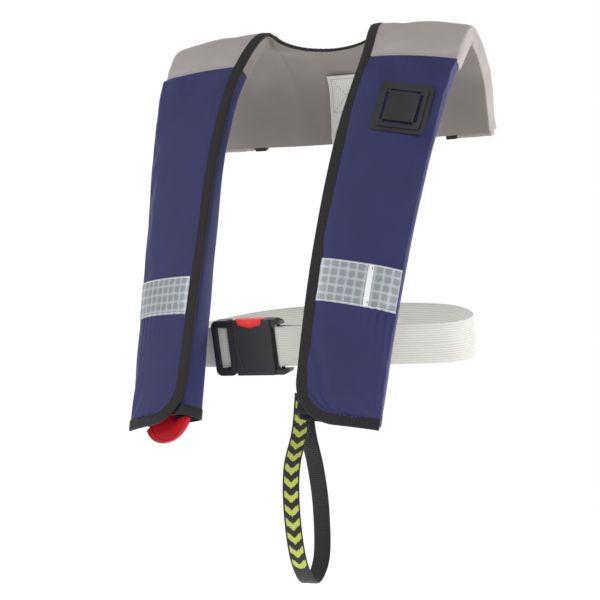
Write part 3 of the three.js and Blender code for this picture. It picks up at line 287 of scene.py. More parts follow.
def cell_tape():
    """Silver film on rounded square cells, each a little darker than the net between them."""
    material, tree, shader = start_material("silver retroreflective tape", 0.4, Metallic=0.15)
    split = map_place(tree)
    powers = []
    for axis in "XY":
        fold = add_node(tree, "Math", {0: (split, axis), 1: CELL / 2}, operation="PINGPONG")
        off = add_node(tree, "Math", {0: (fold, 0), 1: 1000.0, 2: -500 * CELL}, operation="MULTIPLY_ADD")
        powers.append(add_node(tree, "Math", {0: (off, 0), 1: 4.0}, operation="POWER"))
    total = add_node(tree, "Math", {0: (powers[0], 0), 1: (powers[1], 0)}, operation="ADD")
    radius = add_node(tree, "Math", {0: (total, 0), 1: 0.25}, operation="POWER")
    fine = blotches(tree, 420.0, 3.0)
    edge = add_node(tree, "Math", {0: (fine, "Fac"), 1: 2.2, 2: (radius, 0)}, operation="MULTIPLY_ADD")
    share = add_node(tree, "Math", {0: (edge, 0), 1: 0.1}, operation="MULTIPLY")
    colour = colour_between(tree, (share, 0), "8f959a", "bcc1c6", 0.40, 0.62)
    finish_surface(tree, shader, (colour, "Color"), (share, 0), 0.0006, 0.5)
    return material


def handle_weave():
    """Black ribbed webbing with stepped yellow-green chevrons on its outer face."""
    material, tree, shader = start_material("black webbing with woven chevrons", 0.75, Sheen_Weight=0.2)
    split = map_place(tree)
    stepped = [add_node(tree, "Math", {0: (split, axis), 1: THREAD}, operation="SNAP") for axis in "XY"]
    aside = add_node(tree, "Math", {0: (stepped[0], 0)}, operation="ABSOLUTE")
    slant = add_node(tree, "Math", {0: (aside, 0), 1: 0.8, 2: (stepped[1], 0)}, operation="MULTIPLY_ADD")
    turn = add_node(tree, "Math", {0: (slant, 0), 1: BLOCK}, operation="FLOORED_MODULO")
    stroke = add_node(tree, "Math", {0: (turn, 0), 1: STROKE}, operation="LESS_THAN")
    inside = add_node(tree, "Math", {0: (aside, 0), 1: PATTERN_HALF}, operation="LESS_THAN")
    drawn = add_node(tree, "Math", {0: (stroke, 0), 1: (inside, 0)}, operation="MULTIPLY")
    woven_end = add_node(tree, "Math", {0: (split, "Y"), 1: PATTERN_END}, operation="LESS_THAN")
    shown = add_node(tree, "Math", {0: (drawn, 0), 1: (woven_end, 0)}, operation="MULTIPLY")
    threads = weave_height(tree, 2 * THREAD)
    ribs = rib_height(tree, 0.0024)
    black = colour_between(tree, (ribs, 0), "0d0b0c", "1c191a")
    yellow = colour_between(tree, (threads, 0), "9fa83c", "c8d25a")
    colour = add_node(tree, "Mix", {"Factor": (shown, 0), "A": (black, "Color"), "B": (yellow, "Color")},
                      data_type="RGBA")
    height = add_node(tree, "Math", {0: (shown, 0), 1: 0.6, 2: (ribs, 0)}, operation="MULTIPLY_ADD")
    finish_surface(tree, shader, (colour, "Result"), (height, 0), 0.0003, 0.8)
    return material


silver_tape = cell_tape()
chevron_webbing = handle_weave()
print("tape cells every", CELL, "m; chevrons every", BLOCK, "m")

# %% [markdown]
# Moulded parts keep the fine spark-eroded grain of their mould, and it is what stops black plastic
# looking wet. Acetal has an IOR of 1.48; steel keeps the default.

# %% Moulded, metal and rubber materials
def moulded(name, dark, light, roughness, grain=0.00004, scale=1400.0, **sockets):
    """A solid moulded or plated part with mould grain and slight wear in its gloss."""
    material, tree, shader = start_material(name, roughness, **sockets)
    fine = blotches(tree, scale, 2.0)
    slow = blotches(tree, 40.0)
    colour = colour_between(tree, (slow, "Fac"), dark, light, 0.3, 0.7)
    span = {"To Min": roughness - 0.08, "To Max": roughness + 0.1}
    gloss = add_node(tree, "MapRange", {"Value": (slow, "Fac"), **span})
    tree.links.new(gloss.outputs["Result"], shader.inputs["Roughness"])
    finish_surface(tree, shader, (colour, "Color"), (fine, "Fac"), grain, 0.7)
    return material


black_acetal = moulded("black acetal, eroded mould", "1e1c20", "28252a", 0.5, IOR=1.48)
patch_nylon = moulded("black moulded nylon", "1d1b1e", "29272b", 0.42, IOR=1.53)
red_acetal = moulded("red acetal", "ec1f25", "fa3d41", 0.4, IOR=1.48)
red_tab = moulded("red moulded polyurethane", "a30010", "bb0216", 0.42, IOR=1.38)
plated_steel = moulded("zinc plated steel", "a4a7a8", "c2c5c6", 0.32, 0.00001, Metallic=1.0)
black_rubber = moulded("black moulded rubber", "19191a", "242426", 0.6)
yellow_plastic = moulded("yellow moulded polypropylene", "d4bf2c", "e8d444", 0.5)
green_plastic = moulded("green moulded polypropylene", "1f8e45", "30aa58", 0.35)
natural_acetal = moulded("natural acetal", "cfcfc6", "e2e2da", 0.4)
orange_plastic = moulded("orange moulded polystyrene", "db7620", "ef8e35", 0.28, IOR=1.55)
red_braid = woven_cloth("red braided polyester cord", "8e0014", "c81830", 0.001, 0.0002, 0.7)
black_braid = woven_cloth("black braided polyester cord", "161616", "2e2e2e", 0.001, 0.0002, 0.7)
white_thread = moulded("white polyester thread", "d9dadc", "eeeff0", 0.55)
black_thread = moulded("black polyester thread", "141314", "232123", 0.6)
grey_thread = moulded("grey polyester thread", "8d8a85", "a7a49e", 0.6)
# White film for the strip over the left tape: a painted highlight.
painted_highlight_film = moulded("white film of a painted highlight", "e2e3e8", "f2f3f6", 0.3, 0.00001)
sweep_paper = moulded("white paper sweep", "f4f4f4", "fafafa", 0.9, 0.00001, 30.0)
glow = sweep_paper.node_tree.nodes["Principled BSDF"]
glow.inputs["Emission Color"].default_value = (1, 1, 1, 1)
glow.inputs["Emission Strength"].default_value = SWEEP_GLOW
sweep.data.materials.append(sweep_paper)
print("materials:", len(bpy.data.materials))

# %% [markdown]
# The drape says where cloth lies. Two smooth curves run down each side of the wearer, the outer edge
# and the neck edge, through stations numbered from the yoke's hem behind (-2) over the shoulder (0),
# the seam (1), the chest (2) and the top of the tape (3) to the lobe's hem (4).
# A point of the cloth is then a share of the way between them and a depth below the surface.

# %% The drape, in millimetres
MM = 0.001
SHOULDER_HALF, NECK_HALF = 193, 67
SHOULDER_FALL, SEAM_DROP, CHEST_DROP, TAPE_DROP, HEM_DROP = 12, 54, 150, 293, 465
LOBE_SLANT, BACK_DROP, BACK_REACH, NECK_REACH, NECK_DIP = 10, 118, 92, 25, 20
NECK_EDGE, PUFF = 6, 5
BINDING, CORNER = 12, 46  # width of the binding, radius of the flap's corner
LIP = 4.65  # the tray's lip lies this far under the flap
CLOTH = 0.0018  # thickness of the laminated cloth, in metres
BACK, CREST, SEAM, TAPE, HEM = -2, 0, 1, 3, 4
DEPTHS = (20, 20, 20, 20, 20, 27, 36)  # thickness of the pack at each station
SIDES = (("left", 1), ("right", -1))

outer_stations = [Vector(p) for p in (
    (SHOULDER_HALF - 3, BACK_REACH - 17, -BACK_DROP),
    (SHOULDER_HALF, BACK_REACH - 46, -BACK_DROP * 0.42),
    (SHOULDER_HALF, 0, -SHOULDER_FALL),
    (SHOULDER_HALF - 3, -39, -SEAM_DROP),
    (SHOULDER_HALF - 13, -81, -CHEST_DROP),
    (SHOULDER_HALF - 27, -123, -TAPE_DROP),
    (SHOULDER_HALF - 37, -165, -HEM_DROP),
)]
neck_stations = [Vector(p) for p in (
    (NECK_HALF, BACK_REACH, -BACK_DROP),
    (NECK_HALF, BACK_REACH - 34, -BACK_DROP * 0.27),
    (NECK_HALF, 0, 0),
    (NECK_HALF + 9, -50, -SEAM_DROP + LOBE_SLANT * 0.8),
    (NECK_HALF + 7, -107, -CHEST_DROP + LOBE_SLANT),
    (NECK_HALF + 2, -156, -TAPE_DROP + LOBE_SLANT),
    (NECK_HALF + 2, -199, -HEM_DROP + LOBE_SLANT),
)]


def on_curve(stations, t):
    """A point of the smooth curve through the stations."""
    spot = min(max(t - BACK, 0), len(stations) - 1 - 1e-9)
    i = int(spot)
    share = spot - i
    a, b = stations[i], stations[i + 1]
    before = stations[i - 1] if i > 0 else 2 * a - b
    after = stations[i + 2] if i + 2 < len(stations) else 2 * b - a
    d0, d1, d2 = (math.sqrt((q - p).length) for p, q in ((before, a), (a, b), (b, after)))
    leave = ((a - before) / d0 - (b - before) / (d0 + d1) + (b - a) / d1) * d1
    reach = ((b - a) / d1 - (after - a) / (d1 + d2) + (after - b) / d2) * d1
    return (a + leave * share + (3 * (b - a) - 2 * leave - reach) * share ** 2
            + (2 * (a - b) + leave + reach) * share ** 3)


def middle_at(t):
    return (on_curve(outer_stations, t) + on_curve(neck_stations, t)) / 2


def row_at(t):
    """The row's outer end, its direction to the neck, its width, inward direction and thickness."""
    outer = on_curve(outer_stations, t)
    across = on_curve(neck_stations, t) - outer
    width = across.length
    across.normalize()
    down = (middle_at(min(t + 0.02, HEM)) - middle_at(max(t - 0.02, BACK))).normalized()
    inward = down.cross(across).normalized()
    spot = min(max(t - BACK, 0), HEM - BACK - 1e-9)
    i = int(spot)
    depth = DEPTHS[i] + (DEPTHS[i + 1] - DEPTHS[i]) * (spot - i)
    return outer, across, width, inward, depth


def place(side, t, f, dv=0, g=0, dw=0):
    """f: share from the outer edge, and dv mm more. g: share of the depth, and dw mm more."""
    outer, across, width, inward, depth = row_at(t)
    q = f + dv / width
    swell = PUFF * 4 * max(q * (1 - q), 0) * (1 - g)
    p = outer + across * (q * width) + inward * (g * depth + dw - swell)
    return Vector((p.x * side, p.y, p.z)) * MM


def place_middle(x, t, g=0, dw=0):
    """A point behind the neck, where x runs from -NECK_HALF to NECK_HALF."""
    inward, depth = row_at(t)[3:]
    bow = math.sqrt(max(1 - (x / NECK_HALF) ** 2, 0))
    share = 1 - t / BACK
    edge = on_curve(neck_stations, t)
    thick = depth + (depth + (NECK_EDGE - depth) * bow - depth) * share
    turned = Vector((inward.x * x / NECK_HALF, inward.y, inward.z)).normalized()
    p = Vector((x, edge.y + NECK_REACH * bow * share, edge.z - NECK_DIP * bow * share))
    return (p + turned * (g * thick + dw)) * MM


def steps(a, b, n):
    return [a + (b - a) * i / n for i in range(n + 1)]


last_span = (middle_at(TAPE) - middle_at(HEM)).length
seam_span = (middle_at(SEAM) - middle_at(2)).length
back_span = (middle_at(-1) - middle_at(CREST)).length


def up(mm):
    """The station this far above the hem."""
    return HEM - mm / last_span


print("lobe hem at", [round(c, 3) for c in place(1, HEM, 0)])

# %% [markdown]
# Each cloth piece starts as one layer, a grid of points on the drape. Its map is measured along the
# grid, so the threads keep their size. It becomes an object here, and gets its thickness later,
# because a cloth simulation works on a single layer.

# %% Grids to cloth
DOUBLES = 0.00001  # corners closer than this are one


def new_piece(name, data):
    piece = bpy.data.objects.new(name, data)
    bpy.context.collection.objects.link(piece)
    return piece


def finish_normals(piece, fill=False):
    """Faces outwards on a closed shell, as its last step; fill closes a tube's open ends."""
    mesh = bmesh.new()
    mesh.from_mesh(piece.data)
    bmesh.ops.remove_doubles(mesh, verts=mesh.verts, dist=DOUBLES)
    if fill:
        bmesh.ops.holes_fill(mesh, edges=[edge for edge in mesh.edges if edge.is_boundary], sides=0)
    bmesh.ops.recalc_face_normals(mesh, faces=mesh.faces)
    mesh.to_mesh(piece.data)
    mesh.free()
    return piece


def grid_piece(name, rows, keeps=None, outward=None, closed=False, middle=0):
    """A single layer through a grid of points, with its weave map in metres."""
    count, width = len(rows), len(rows[0])
    u = [[0.0] * width for _ in rows]
    v = [[0.0] * width for _ in rows]
    for i, row in enumerate(rows):
        for j in range(1, width):
            u[i][j] = u[i][j - 1] + (row[j] - row[j - 1]).length
        start = u[i][middle]
        for j in range(width):
            u[i][j] -= start
            v[i][j] = v[i - 1][j] + (row[j] - rows[i - 1][j]).length if i else 0.0
    mean = [sum(line) / width for line in v]
    faces = []
    for i in range(count - 1):
        for j in range(width if closed else width - 1):
            if keeps and not keeps(i, j):
                continue
            k = (j + 1) % width
            faces.append((i * width + j, i * width + k, (i + 1) * width + k, (i + 1) * width + j))
    data = bpy.data.meshes.new(name)
    data.from_pydata([p for row in rows for p in row], [], faces)
    uv = data.uv_layers.new(name="weave")
    for polygon in data.polygons:
        for loop in polygon.loop_indices:
            i, j = divmod(data.loops[loop].vertex_index, width)
            uv.data[loop].uv = (u[i][j], mean[i])
    piece = new_piece(name, data)
    if outward is not None:
        facing = sum((polygon.normal * polygon.area for polygon in data.polygons), Vector()).dot(outward)
        if facing < 0:
            data.flip_normals()
    return piece


def use(piece):
    deselect()
    piece.select_set(True)
    bpy.context.view_layer.objects.active = piece


def modify(piece, kind, **settings):
    """Adds a modifier and applies it."""
    use(piece)
    modifier = piece.modifiers.new(kind.lower(), kind)
    for key, value in settings.items():
        setattr(modifier, key, value)
    bpy.ops.object.modifier_apply(modifier=modifier.name)


def divide(piece):
    """Rounds a coarse grid by dividing every face once."""
    modify(piece, "SUBSURF", levels=1, render_levels=1)


def thicken(piece, thickness):
    """Thickness below a layer's outer face."""
    modify(piece, "SOLIDIFY", thickness=thickness, offset=-1.0)


def dress(piece, material, angle=40):
    piece.data.materials.clear()
    piece.data.materials.append(material)
    use(piece)
    bpy.ops.object.shade_smooth_by_angle(angle=math.radians(angle))
    return piece


def billow(piece, pressure, spare, cap):
    """Cloth simulation: the border is sewn down, the cloth has a little to spare and air behind it."""
    start = [v.co.copy() for v in piece.data.vertices]
    mesh = bmesh.new()
    mesh.from_mesh(piece.data)
    border = [v.index for v in mesh.verts if v.is_boundary]
    mesh.free()
    seam = piece.vertex_groups.new(name="seam")
    seam.add(border, 1.0, "REPLACE")
    use(piece)
    bpy.ops.object.modifier_add(type="CLOTH")
    cloth = piece.modifiers[-1]
    settings = cloth.settings
    settings.vertex_group_mass = "seam"
    settings.use_pressure = True
    settings.uniform_pressure_force = pressure
    settings.shrink_min = -spare
    settings.effector_weights.gravity = 0
    settings.tension_stiffness = settings.compression_stiffness = 12
    settings.bending_stiffness = 0.6
    settings.air_damping = 4
    settings.quality = 6
    cloth.collision_settings.use_collision = False
    for frame_number in range(1, 21):
        bpy.context.scene.frame_set(frame_number)
    bpy.ops.object.modifier_apply(modifier=cloth.name)
    bpy.context.scene.frame_set(1)
    far = 0
    for v, rest in zip(piece.data.vertices, start):
        move = v.co - rest
        far = max(far, move.length)
        if move.length > cap:
            v.co = rest + move * (cap / move.length)
    print(piece.name, "billowed", round(far * 1000, 1), "mm, kept to", round(cap * 1000, 1))


def wrinkle(piece, height, scale, seed):
    """Slow unevenness of hand-sewn cloth, along each point's own normal."""
    offset = Vector((seed * 3.1, seed * 1.7, seed * 0.9))
    normals = [v.normal.copy() for v in piece.data.vertices]
    for v, normal in zip(piece.data.vertices, normals):
        v.co += normal * (height * noise.noise(v.co * scale + offset))


print("cloth helpers ready")

# %% [markdown]
# The front flaps are one layer of laminated cloth over the folded bladder. The cloth sim holds their
# border, where the binding and seams are, and lets the middle billow. Below the left tape the cloth
# is gathered by the tape's stitching, which is added as short vertical puckers.

# %% Front flaps
flap_rows = [SEAM + 0.35 / seam_span + (TAPE - SEAM) * share for share in steps(0, 1, 34)][:-1]
flap_rows += steps(TAPE, up(CORNER), 20)
corner_turn = steps(0, math.pi / 2, 12)[1:]
cloth_corner = CORNER - BINDING + 1
flap_columns = steps(0, 1, 56)
turn_in = ((0.6, 3.3), (0.1, 2.0), (-0.3, 0.9))  # the cloth turns in round the lobe's outer edge
TAPE_TALL = 50  # the left tape's height, in millimetres
PUCKERS, PUCKER_DEPTH, PUCKER_FADE = 11, 1.9, 22  # across the flap; millimetres deep; millimetres down


def pucker(side, t, f):
    """How far the gathered cloth below a tape sinks between two puckers, in millimetres."""
    below = (t - TAPE) * last_span - TAPE_TALL
    fade = math.exp(-max(below, 0) / PUCKER_FADE) * (1 if below > -2 else 0)
    reach = math.exp(-((f - 0.2) / 0.2) ** 2)
    return PUCKER_DEPTH * fade * reach * math.sin(f * 2 * math.pi * PUCKERS) * (1 if side > 0 else 0.5)


def flap_grid(side):
    rows = [(t, -BINDING + 1) for t in flap_rows]
    rows += [(up(CORNER - cloth_corner * math.sin(a)), cloth_corner * math.cos(a) - CORNER)
             for a in corner_turn]
    grid = []
    for t, reach in rows:
        grid.append([place(side, t, 0, dv, 0, dw) for dv, dw in turn_in])
        grid[-1] += [place(side, t, f, reach * f, 0, pucker(side, t, f)) for f in flap_columns]
    return grid


outward_of = {}
flaps = {}
for name, side in SIDES:
    outward_of[name] = Vector((0.35 * side, -0.95, 0.1))
    flap = grid_piece(f"cover_flap_{name}", flap_grid(side), outward=outward_of[name])
    billow(flap, 1.2, 0.006, 0.0018)
    wrinkle(flap, 0.0016, 14.0, side + 2)
    wrinkle(flap, 0.0006, 45.0, side + 5)
    divide(flap)
    flaps[name] = flap
print("flaps:", [len(f.data.polygons) for f in flaps.values()], "faces each")


# %% [markdown]
# Whatever is sewn to a flap has to lie on the cloth as it now is. A search tree over the flap's faces
# finds the nearest point of the cloth and its normal.

# %% Laying things on cloth
def surface_of(piece):
    mesh = bmesh.new()
    mesh.from_mesh(piece.data)
    tree = BVHTree.FromBMesh(mesh)
    mesh.free()
    return tree


def lift_onto(tree, point, height):
    """The point moved to this height above the nearest cloth, and the normal there."""
    near, normal, _, _ = tree.find_nearest(point)
    return near + normal * height, normal


cloth_of = {name: surface_of(flap) for name, flap in flaps.items()}


def stitch_line(name, tree, points, thread, body,
                pitch=0.0036, length=0.0026, radius=0.00038, height=0.0):
    """A row of stitches along a path on the cloth, as one mesh of small spindles."""
    verts, faces = [], []
    ring = 5
    spots = []
    for a, b in zip(points, points[1:]):
        n = max(int((b - a).length / pitch), 1)
        spots += [(a.lerp(b, (k + 0.5) / n), (b - a).normalized()) for k in range(n)]
    for spot, along in spots:
        centre, normal = lift_onto(tree, spot, height)
        along = (along - normal * along.dot(normal)).normalized()
        wide = along.cross(normal)
        base = len(verts)
        verts += [centre - along * length / 2, centre + along * length / 2]
        for end in (-0.3, 0.3):
            for k in range(ring):
                angle = 2 * math.pi * k / ring
                out = wide * math.cos(angle) + normal * math.sin(angle)
                verts.append(centre + along * (end * length) + out * radius)
        for k in range(ring):
            m = (k + 1) % ring
            low, high = base + 2, base + 2 + ring
            faces += [(base, low + m, low + k), (base + 1, high + k, high + m)]
            faces.append((low + k, low + m, high + m, high + k))
    data = bpy.data.meshes.new(name)
    data.from_pydata(verts, [], faces)
    piece = finish_normals(new_piece(name, data))
    dress(piece, thread, 80)
    if body:
        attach(piece, body)
    return piece


print("search trees:", list(cloth_of))

# %% [markdown]
# Every raw edge is bound with a folded tape: it lies on the cloth, turns round the edge and comes
# back behind. Its section is a flattened ring, carried along the edge. The corner of a real binding
# is eased round, so the section turns with the path.

# %% Bindings
FOLD = ((0.0, -0.55), (0.3, -0.75), (0.6, -0.75), (0.85, -0.65), (0.97, -0.3), (1.0, 0.5), (1.0, 1.5),
        (0.97, 2.3), (0.85, 2.6), (0.6, 2.7), (0.3, 2.7), (0.0, 2.5), (0.0, -0.55))


def bound_edge(name, path):
    """path holds pairs of functions: the tape's edge and its inner side, each at a depth in millimetres."""
    rings = []
    for k, (edge, inner) in enumerate(path):
        uneven = 0.25 * math.sin(k * 0.9) + 0.15 * math.sin(k * 2.3)
        rings.append([inner(dw + uneven * 0.3).lerp(edge(dw + uneven * 0.3), share) for share, dw in FOLD])
    return finish_normals(grid_piece(name, rings), fill=True)


def at(side, t, f, dv):
    return lambda dw: place(side, t, f, dv, 0, dw)


def flap_edge_path(side):
    path = [(at(side, t, 1, 0), at(side, t, 1, -BINDING)) for t in flap_rows]
    for a in corner_turn:
        spots = [(up(CORNER - r * math.sin(a)), r * math.cos(a) - CORNER) for r in (CORNER, CORNER - BINDING)]
        path.append(tuple(at(side, t, 1, dv) for t, dv in spots))
    width = row_at(HEM)[2]
    for v in steps(width - CORNER, 0, 26)[1:]:
        path.append((at(side, HEM, 0, v), at(side, up(BINDING), 0, v)))
    return path


def hinge_blend(piece, name):
    """Bakes the piece's place into its mesh. The flap is sewn to its tray along the outer edge, and is not
    bent there.
    """
    side = dict(SIDES)[name]
    across = row_at(TAPE)[1]
    across = Vector((across.x * side, across.y, across.z))
    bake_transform(piece)


def stitch_row(path):
    """Where a bound edge is stitched: near the inner side of its binding."""
    return [inner(-1).lerp(edge(-1), 0.2) for edge, inner in path]


for name, side in SIDES:
    flap = flaps[name]
    thicken(flap, CLOTH)
    dress(flap, navy_oxford, 60)
    hinge_blend(flap, name)
    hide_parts(f"front_flap_{name}")
    binding = bound_edge(f"edge_binding_{name}", flap_edge_path(side))
    dress(binding, black_grosgrain, 50)
    hinge_blend(binding, name)
    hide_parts(f"flap_binding_{name}")
    stitches = stitch_line(f"binding_stitches_{name}", surface_of(binding), stitch_row(flap_edge_path(side)),
                           black_thread, None)
    hinge_blend(stitches, name)
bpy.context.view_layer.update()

# %% [markdown]
# The silver tape is sewn on flat along its top and bottom edges with white thread, and the left one
# has a strip of white film over it, a painted highlight. Tape is laid on the cloth's own surface, slightly
# above it.

# %% Reflective tapes
TAPES = {"left": (6, 0, TAPE_TALL), "right": (-6, 5, 44.5)}  # rise to the outer side, fall and height
TAPE_START, TAPE_SHORT = 1.5, 14  # from the outer edge, and less than the lobe's width
SEW_IN = 1.6  # a row of stitches lies this far inside the tape's edge


def tape_spot(name, across, below):
    """A point of the tape's rectangle: across from 0 at the outer edge to 1, below its top in millimetres."""
    rise, fall, _ = TAPES[name]
    side = dict(SIDES)[name]
    t = TAPE + (below + fall - rise * across) / last_span
    width = row_at(t)[2]
    return place(side, t, 0, TAPE_START + (width - TAPE_SHORT) * across)


for name, side in SIDES:
    tall = TAPES[name][2]
    tree = cloth_of[name]
    rows = [[lift_onto(tree, tape_spot(name, a, b), 0.00085)[0] for a in steps(0, 1, 48)]
            for b in steps(0, tall, 12)]
    tape = grid_piece(f"silver_tape_{name}", rows, outward=outward_of[name])
    thicken(tape, 0.0006)
    dress(tape, silver_tape)
    hinge_blend(tape, name)
    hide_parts(f"reflective_tape_{name}")
    for label, below in (("top", SEW_IN), ("bottom", tall - SEW_IN)):
        path = [tape_spot(name, a, below) for a in steps(0.01, 0.99, 60)]
        row = stitch_line(f"tape_stitches_{label}_{name}", tree, path, white_thread, None,
                          0.0034, 0.0024, 0.0004, 0.0011)
        hinge_blend(row, name)



def bar_spot(v, below):
    """A point of the left tape, this many millimetres in from the outer edge and below its top."""
    return tape_spot("left", (v - TAPE_START) / (row_at(TAPE)[2] - TAPE_SHORT), below)


# A strip of white film over the left tape stands for a bright stripe of light: a painted highlight.
rows = [[lift_onto(cloth_of["left"], bar_spot(v, b), 0.0016)[0] for v in steps(32, 38, 4)]
        for b in steps(1, 49, 12)]
bar = grid_piece("painted_highlight_strip", rows, outward=outward_of["left"])
thicken(bar, 0.0007)
modify(bar, "BEVEL", width=0.0002, segments=2)
dress(bar, painted_highlight_film)
hinge_blend(bar, "left")
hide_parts("tape_joint_bar")
for label, low, high in (("top", 4, 7), ("bottom", 43, 46)):
    path = [bar_spot(33.6, b) for b in (low, high)]
    tack = stitch_line(f"bar_tack_{label}", cloth_of["left"], path, black_thread, None,
                       0.003, 0.003, 0.0004, 0.0018)
    hinge_blend(tack, "left")
print("tapes laid")

# %% [markdown]
# The tray is the back half of each lobe: it wraps the outer edge, passes behind the folded bladder
# and comes forward again at the neck side, with a lip at both ends that the flap closes on.

# %% Trays
FRONT, WALL = LIP + 1.6, 5.6  # front of the lip; inside of the neck-side wall
TRAY_RING = (
    (0, 1, 0, LIP), (0, 1, 0.5, -1), (0, 1, 1, -7), (0, 3, 1, -2), (0, 8, 1, 0), (0.25, 0, 1, 0.4),
    (0.5, 0, 1, 0.6), (0.75, 0, 1, 0.4), (1, -11, 1, 0), (1, -6, 1, -2), (1, -4, 1, -7), (1, -4, 0.5, -1),
    (1, -4, 0, LIP), (1, -13, 0, LIP), (1, -22, 0, LIP), (1, -22, 0, FRONT), (1, -13, 0, FRONT),
    (1, -WALL, 0, FRONT), (1, -WALL, 0.5, 0), (1, -WALL, 1, -7), (1, -11, 1, -1.6), (0.75, 0, 1, -1.4),
    (0.5, 0, 1, -1.2), (0.25, 0, 1, -1.4), (0, 8, 1, -1.6), (0, 2.6, 1, -7), (0, 2.6, 0.5, -1),
    (0, 2.6, 0, LIP),
)


def copy_of(node, name):
    """A solid's own copy, with its corners merged."""
    return finish_normals(new_piece(name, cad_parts[node].data.copy()))


def soft_copy(node, name, material, body, bevel=0.0004):
    """A soft solid made again: its corners eased, and its weave mapped on it."""
    piece = copy_of(node, name)
    modify(piece, "BEVEL", width=bevel, segments=2, limit_method="ANGLE", angle_limit=math.radians(35))
    map_weave(piece)
    dress(piece, material)
    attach(piece, body)
    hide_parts(node)
    return piece


def map_weave(piece):
    """A weave map in metres for a piece with no grid: each face is mapped straight on."""
    for layer in list(piece.data.uv_layers):
        piece.data.uv_layers.remove(layer)
    piece.data.uv_layers.new(name="weave")
    use(piece)
    bpy.ops.object.mode_set(mode="EDIT")
    bpy.ops.mesh.select_all(action="SELECT")
    bpy.ops.uv.cube_project(cube_size=1.0, correct_aspect=False, scale_to_bounds=False)
    bpy.ops.object.mode_set(mode="OBJECT")


for name, side in SIDES:
    tray_rows = [t for t in flap_rows if t < up(24)] + [up(22)]
    rings = [[place(side, t, *spec) for spec in TRAY_RING] for t in tray_rows]
    tray = grid_piece(f"back_tray_{name}", rings, closed=True)
    divide(tray)
    finish_normals(tray, fill=True)
    wrinkle(tray, 0.0012, 16.0, side + 8)
    dress(tray, navy_oxford, 60)
    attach(tray, "vest")
    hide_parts(f"cover_tray_{name}")
    soft_copy(f"tray_hem_binding_{name}", f"tray_edge_{name}", black_grosgrain, "vest")
    soft_copy(f"closure_loop_{name}", f"loop_strip_{name}", hook_and_loop, "vest")
    soft_copy(f"closure_hook_{name}", f"hook_strip_{name}", hook_and_loop, f"flap_{name}")
    soft_copy(f"belt_loop_{name}", f"webbing_loop_{name}", black_grosgrain, "vest")
    soft_copy(f"rear_pad_end_{name}", f"rear_pad_cap_{name}", black_grosgrain, "vest", 0.0012)
print("trays and closures made")

# %% [markdown]
# The yoke is a soft grey cloth over thin foam. It lies over both shoulders and behind the neck as
# one piece, and its outer edges roll down to the lining. The foam shows as a slight fullness between
# its seams, which the cloth simulation gives it.

# %% Yoke cover
YOKE_SIDE = ((0, 0.5, 1, -0.5), (0, 0.1, 0.8, -1.5), (0, 0, 0.5, 0), (0, 0, 0.25, 2.5), (0, 0.3, 0, 4.2),
             (0, 1.4, 0, 1.8), (0, 3.4, 0, 0.6), (0, 6.5, 0, 0.1), (0, 11, 0, 0))
YOKE_FLAT = [(f, -BINDING * f, 0, 0) for f in steps(0.15, 1, 12)]
strap_columns = [*YOKE_SIDE, *YOKE_FLAT]
neck_start = -12 / back_span
middle_places = [-NECK_HALF * math.sin(angle) for angle in steps(-math.pi / 2, math.pi / 2, 30)[1:-1]]
behind_rows = steps(BACK, neck_start, 30)
front_rows = [neck_start * 0.5] + steps(0, SEAM, 22)


def yoke_row(t, specs, middle):
    """One row across the whole yoke, from the wearer's left edge over the middle to the right edge."""
    left = [place(1, t, *spec) for spec in specs]
    right = [place(-1, t, *spec) for spec in reversed(specs)]
    return left + middle + right


cover_rows = []
for t in behind_rows + front_rows:
    middle = [place_middle(x, min(t, neck_start)) for x in middle_places]
    cover_rows.append(yoke_row(t, strap_columns, middle))
last_behind = len(behind_rows) - 1
strap_count = len(strap_columns)
row_width = len(cover_rows[0])


def yoke_keeps(i, j):
    """The neck is open in front of the last row behind it."""
    return i < last_behind or j < strap_count - 1 or j >= row_width - strap_count


cover = grid_piece("yoke_cloth", cover_rows, keeps=yoke_keeps, outward=Vector((0, 0.6, 0.8)))
billow(cover, 1.0, 0.008, 0.0022)
wrinkle(cover, 0.0016, 17.0, 21)
wrinkle(cover, 0.0005, 60.0, 23)
divide(cover)
cover_tree = surface_of(cover)
thicken(cover, CLOTH)
dress(cover, grey_oxford, 60)
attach(cover, "vest")
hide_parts("yoke_cover")
print("yoke:", len(cover.data.polygons), "faces")

# %% [markdown]
# The lining faces the wearer. Seen from in front it shows inside the back of the neck. It is softer
# than the cover, and it turns up at the neck to meet the cover under the binding.

# %% Lining and neck binding
LINING_FLOOR = [(0, 2.35, 1, 0), (0.12, 0, 1, 0), (0.25, 0, 1, 0), (0.38, 0, 1, 0), (0.5, 0, 1, 0),
                (0.62, 0, 1, 0), (0.75, 0, 1, 0), (0.88, -4, 1, 0), (1, -8, 1, 0)]
LINING_WALL = [(1, -4.8, 1, -1.4), (1, -4, 1, -4), (1, -4, 0.5, 0), (1, -4, 0, 3.1)]
LINING_LEVEL = [(1, -8 + k * 1.6, 1, 0) for k in (1, 2, 3, 4)]
NECK_WALL = ((1, -1.2), (0.5, 0), (0, 3.1))  # rows behind the neck: share of depth, millimetres more
lining_rows = []
for t in behind_rows:
    middle = [place_middle(x, t, 1) for x in middle_places]
    lining_rows.append(yoke_row(t, LINING_FLOOR + LINING_LEVEL, middle))
lining_behind = len(lining_rows)
for k, t in enumerate(front_rows):
    g, dw = NECK_WALL[min(k, 2)]
    middle = [place_middle(x, -0.01 if k else neck_start * 0.4, g, dw) for x in middle_places]
    lining_rows.append(yoke_row(t, LINING_FLOOR + LINING_WALL, middle))
lining_count = len(LINING_FLOOR) + len(LINING_WALL)
lining_width = len(lining_rows[0])


def lining_keeps(i, j):
    return i < lining_behind + 2 or j < lining_count - 1 or j >= lining_width - lining_count


lining = grid_piece("yoke_lining_cloth", lining_rows, keeps=lining_keeps, outward=Vector((0, -0.6, -0.8)))
wrinkle(lining, 0.0014, 19.0, 31)
divide(lining)
thicken(lining, CLOTH)
dress(lining, lining_twill, 60)
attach(lining, "vest")
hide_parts("yoke_lining")


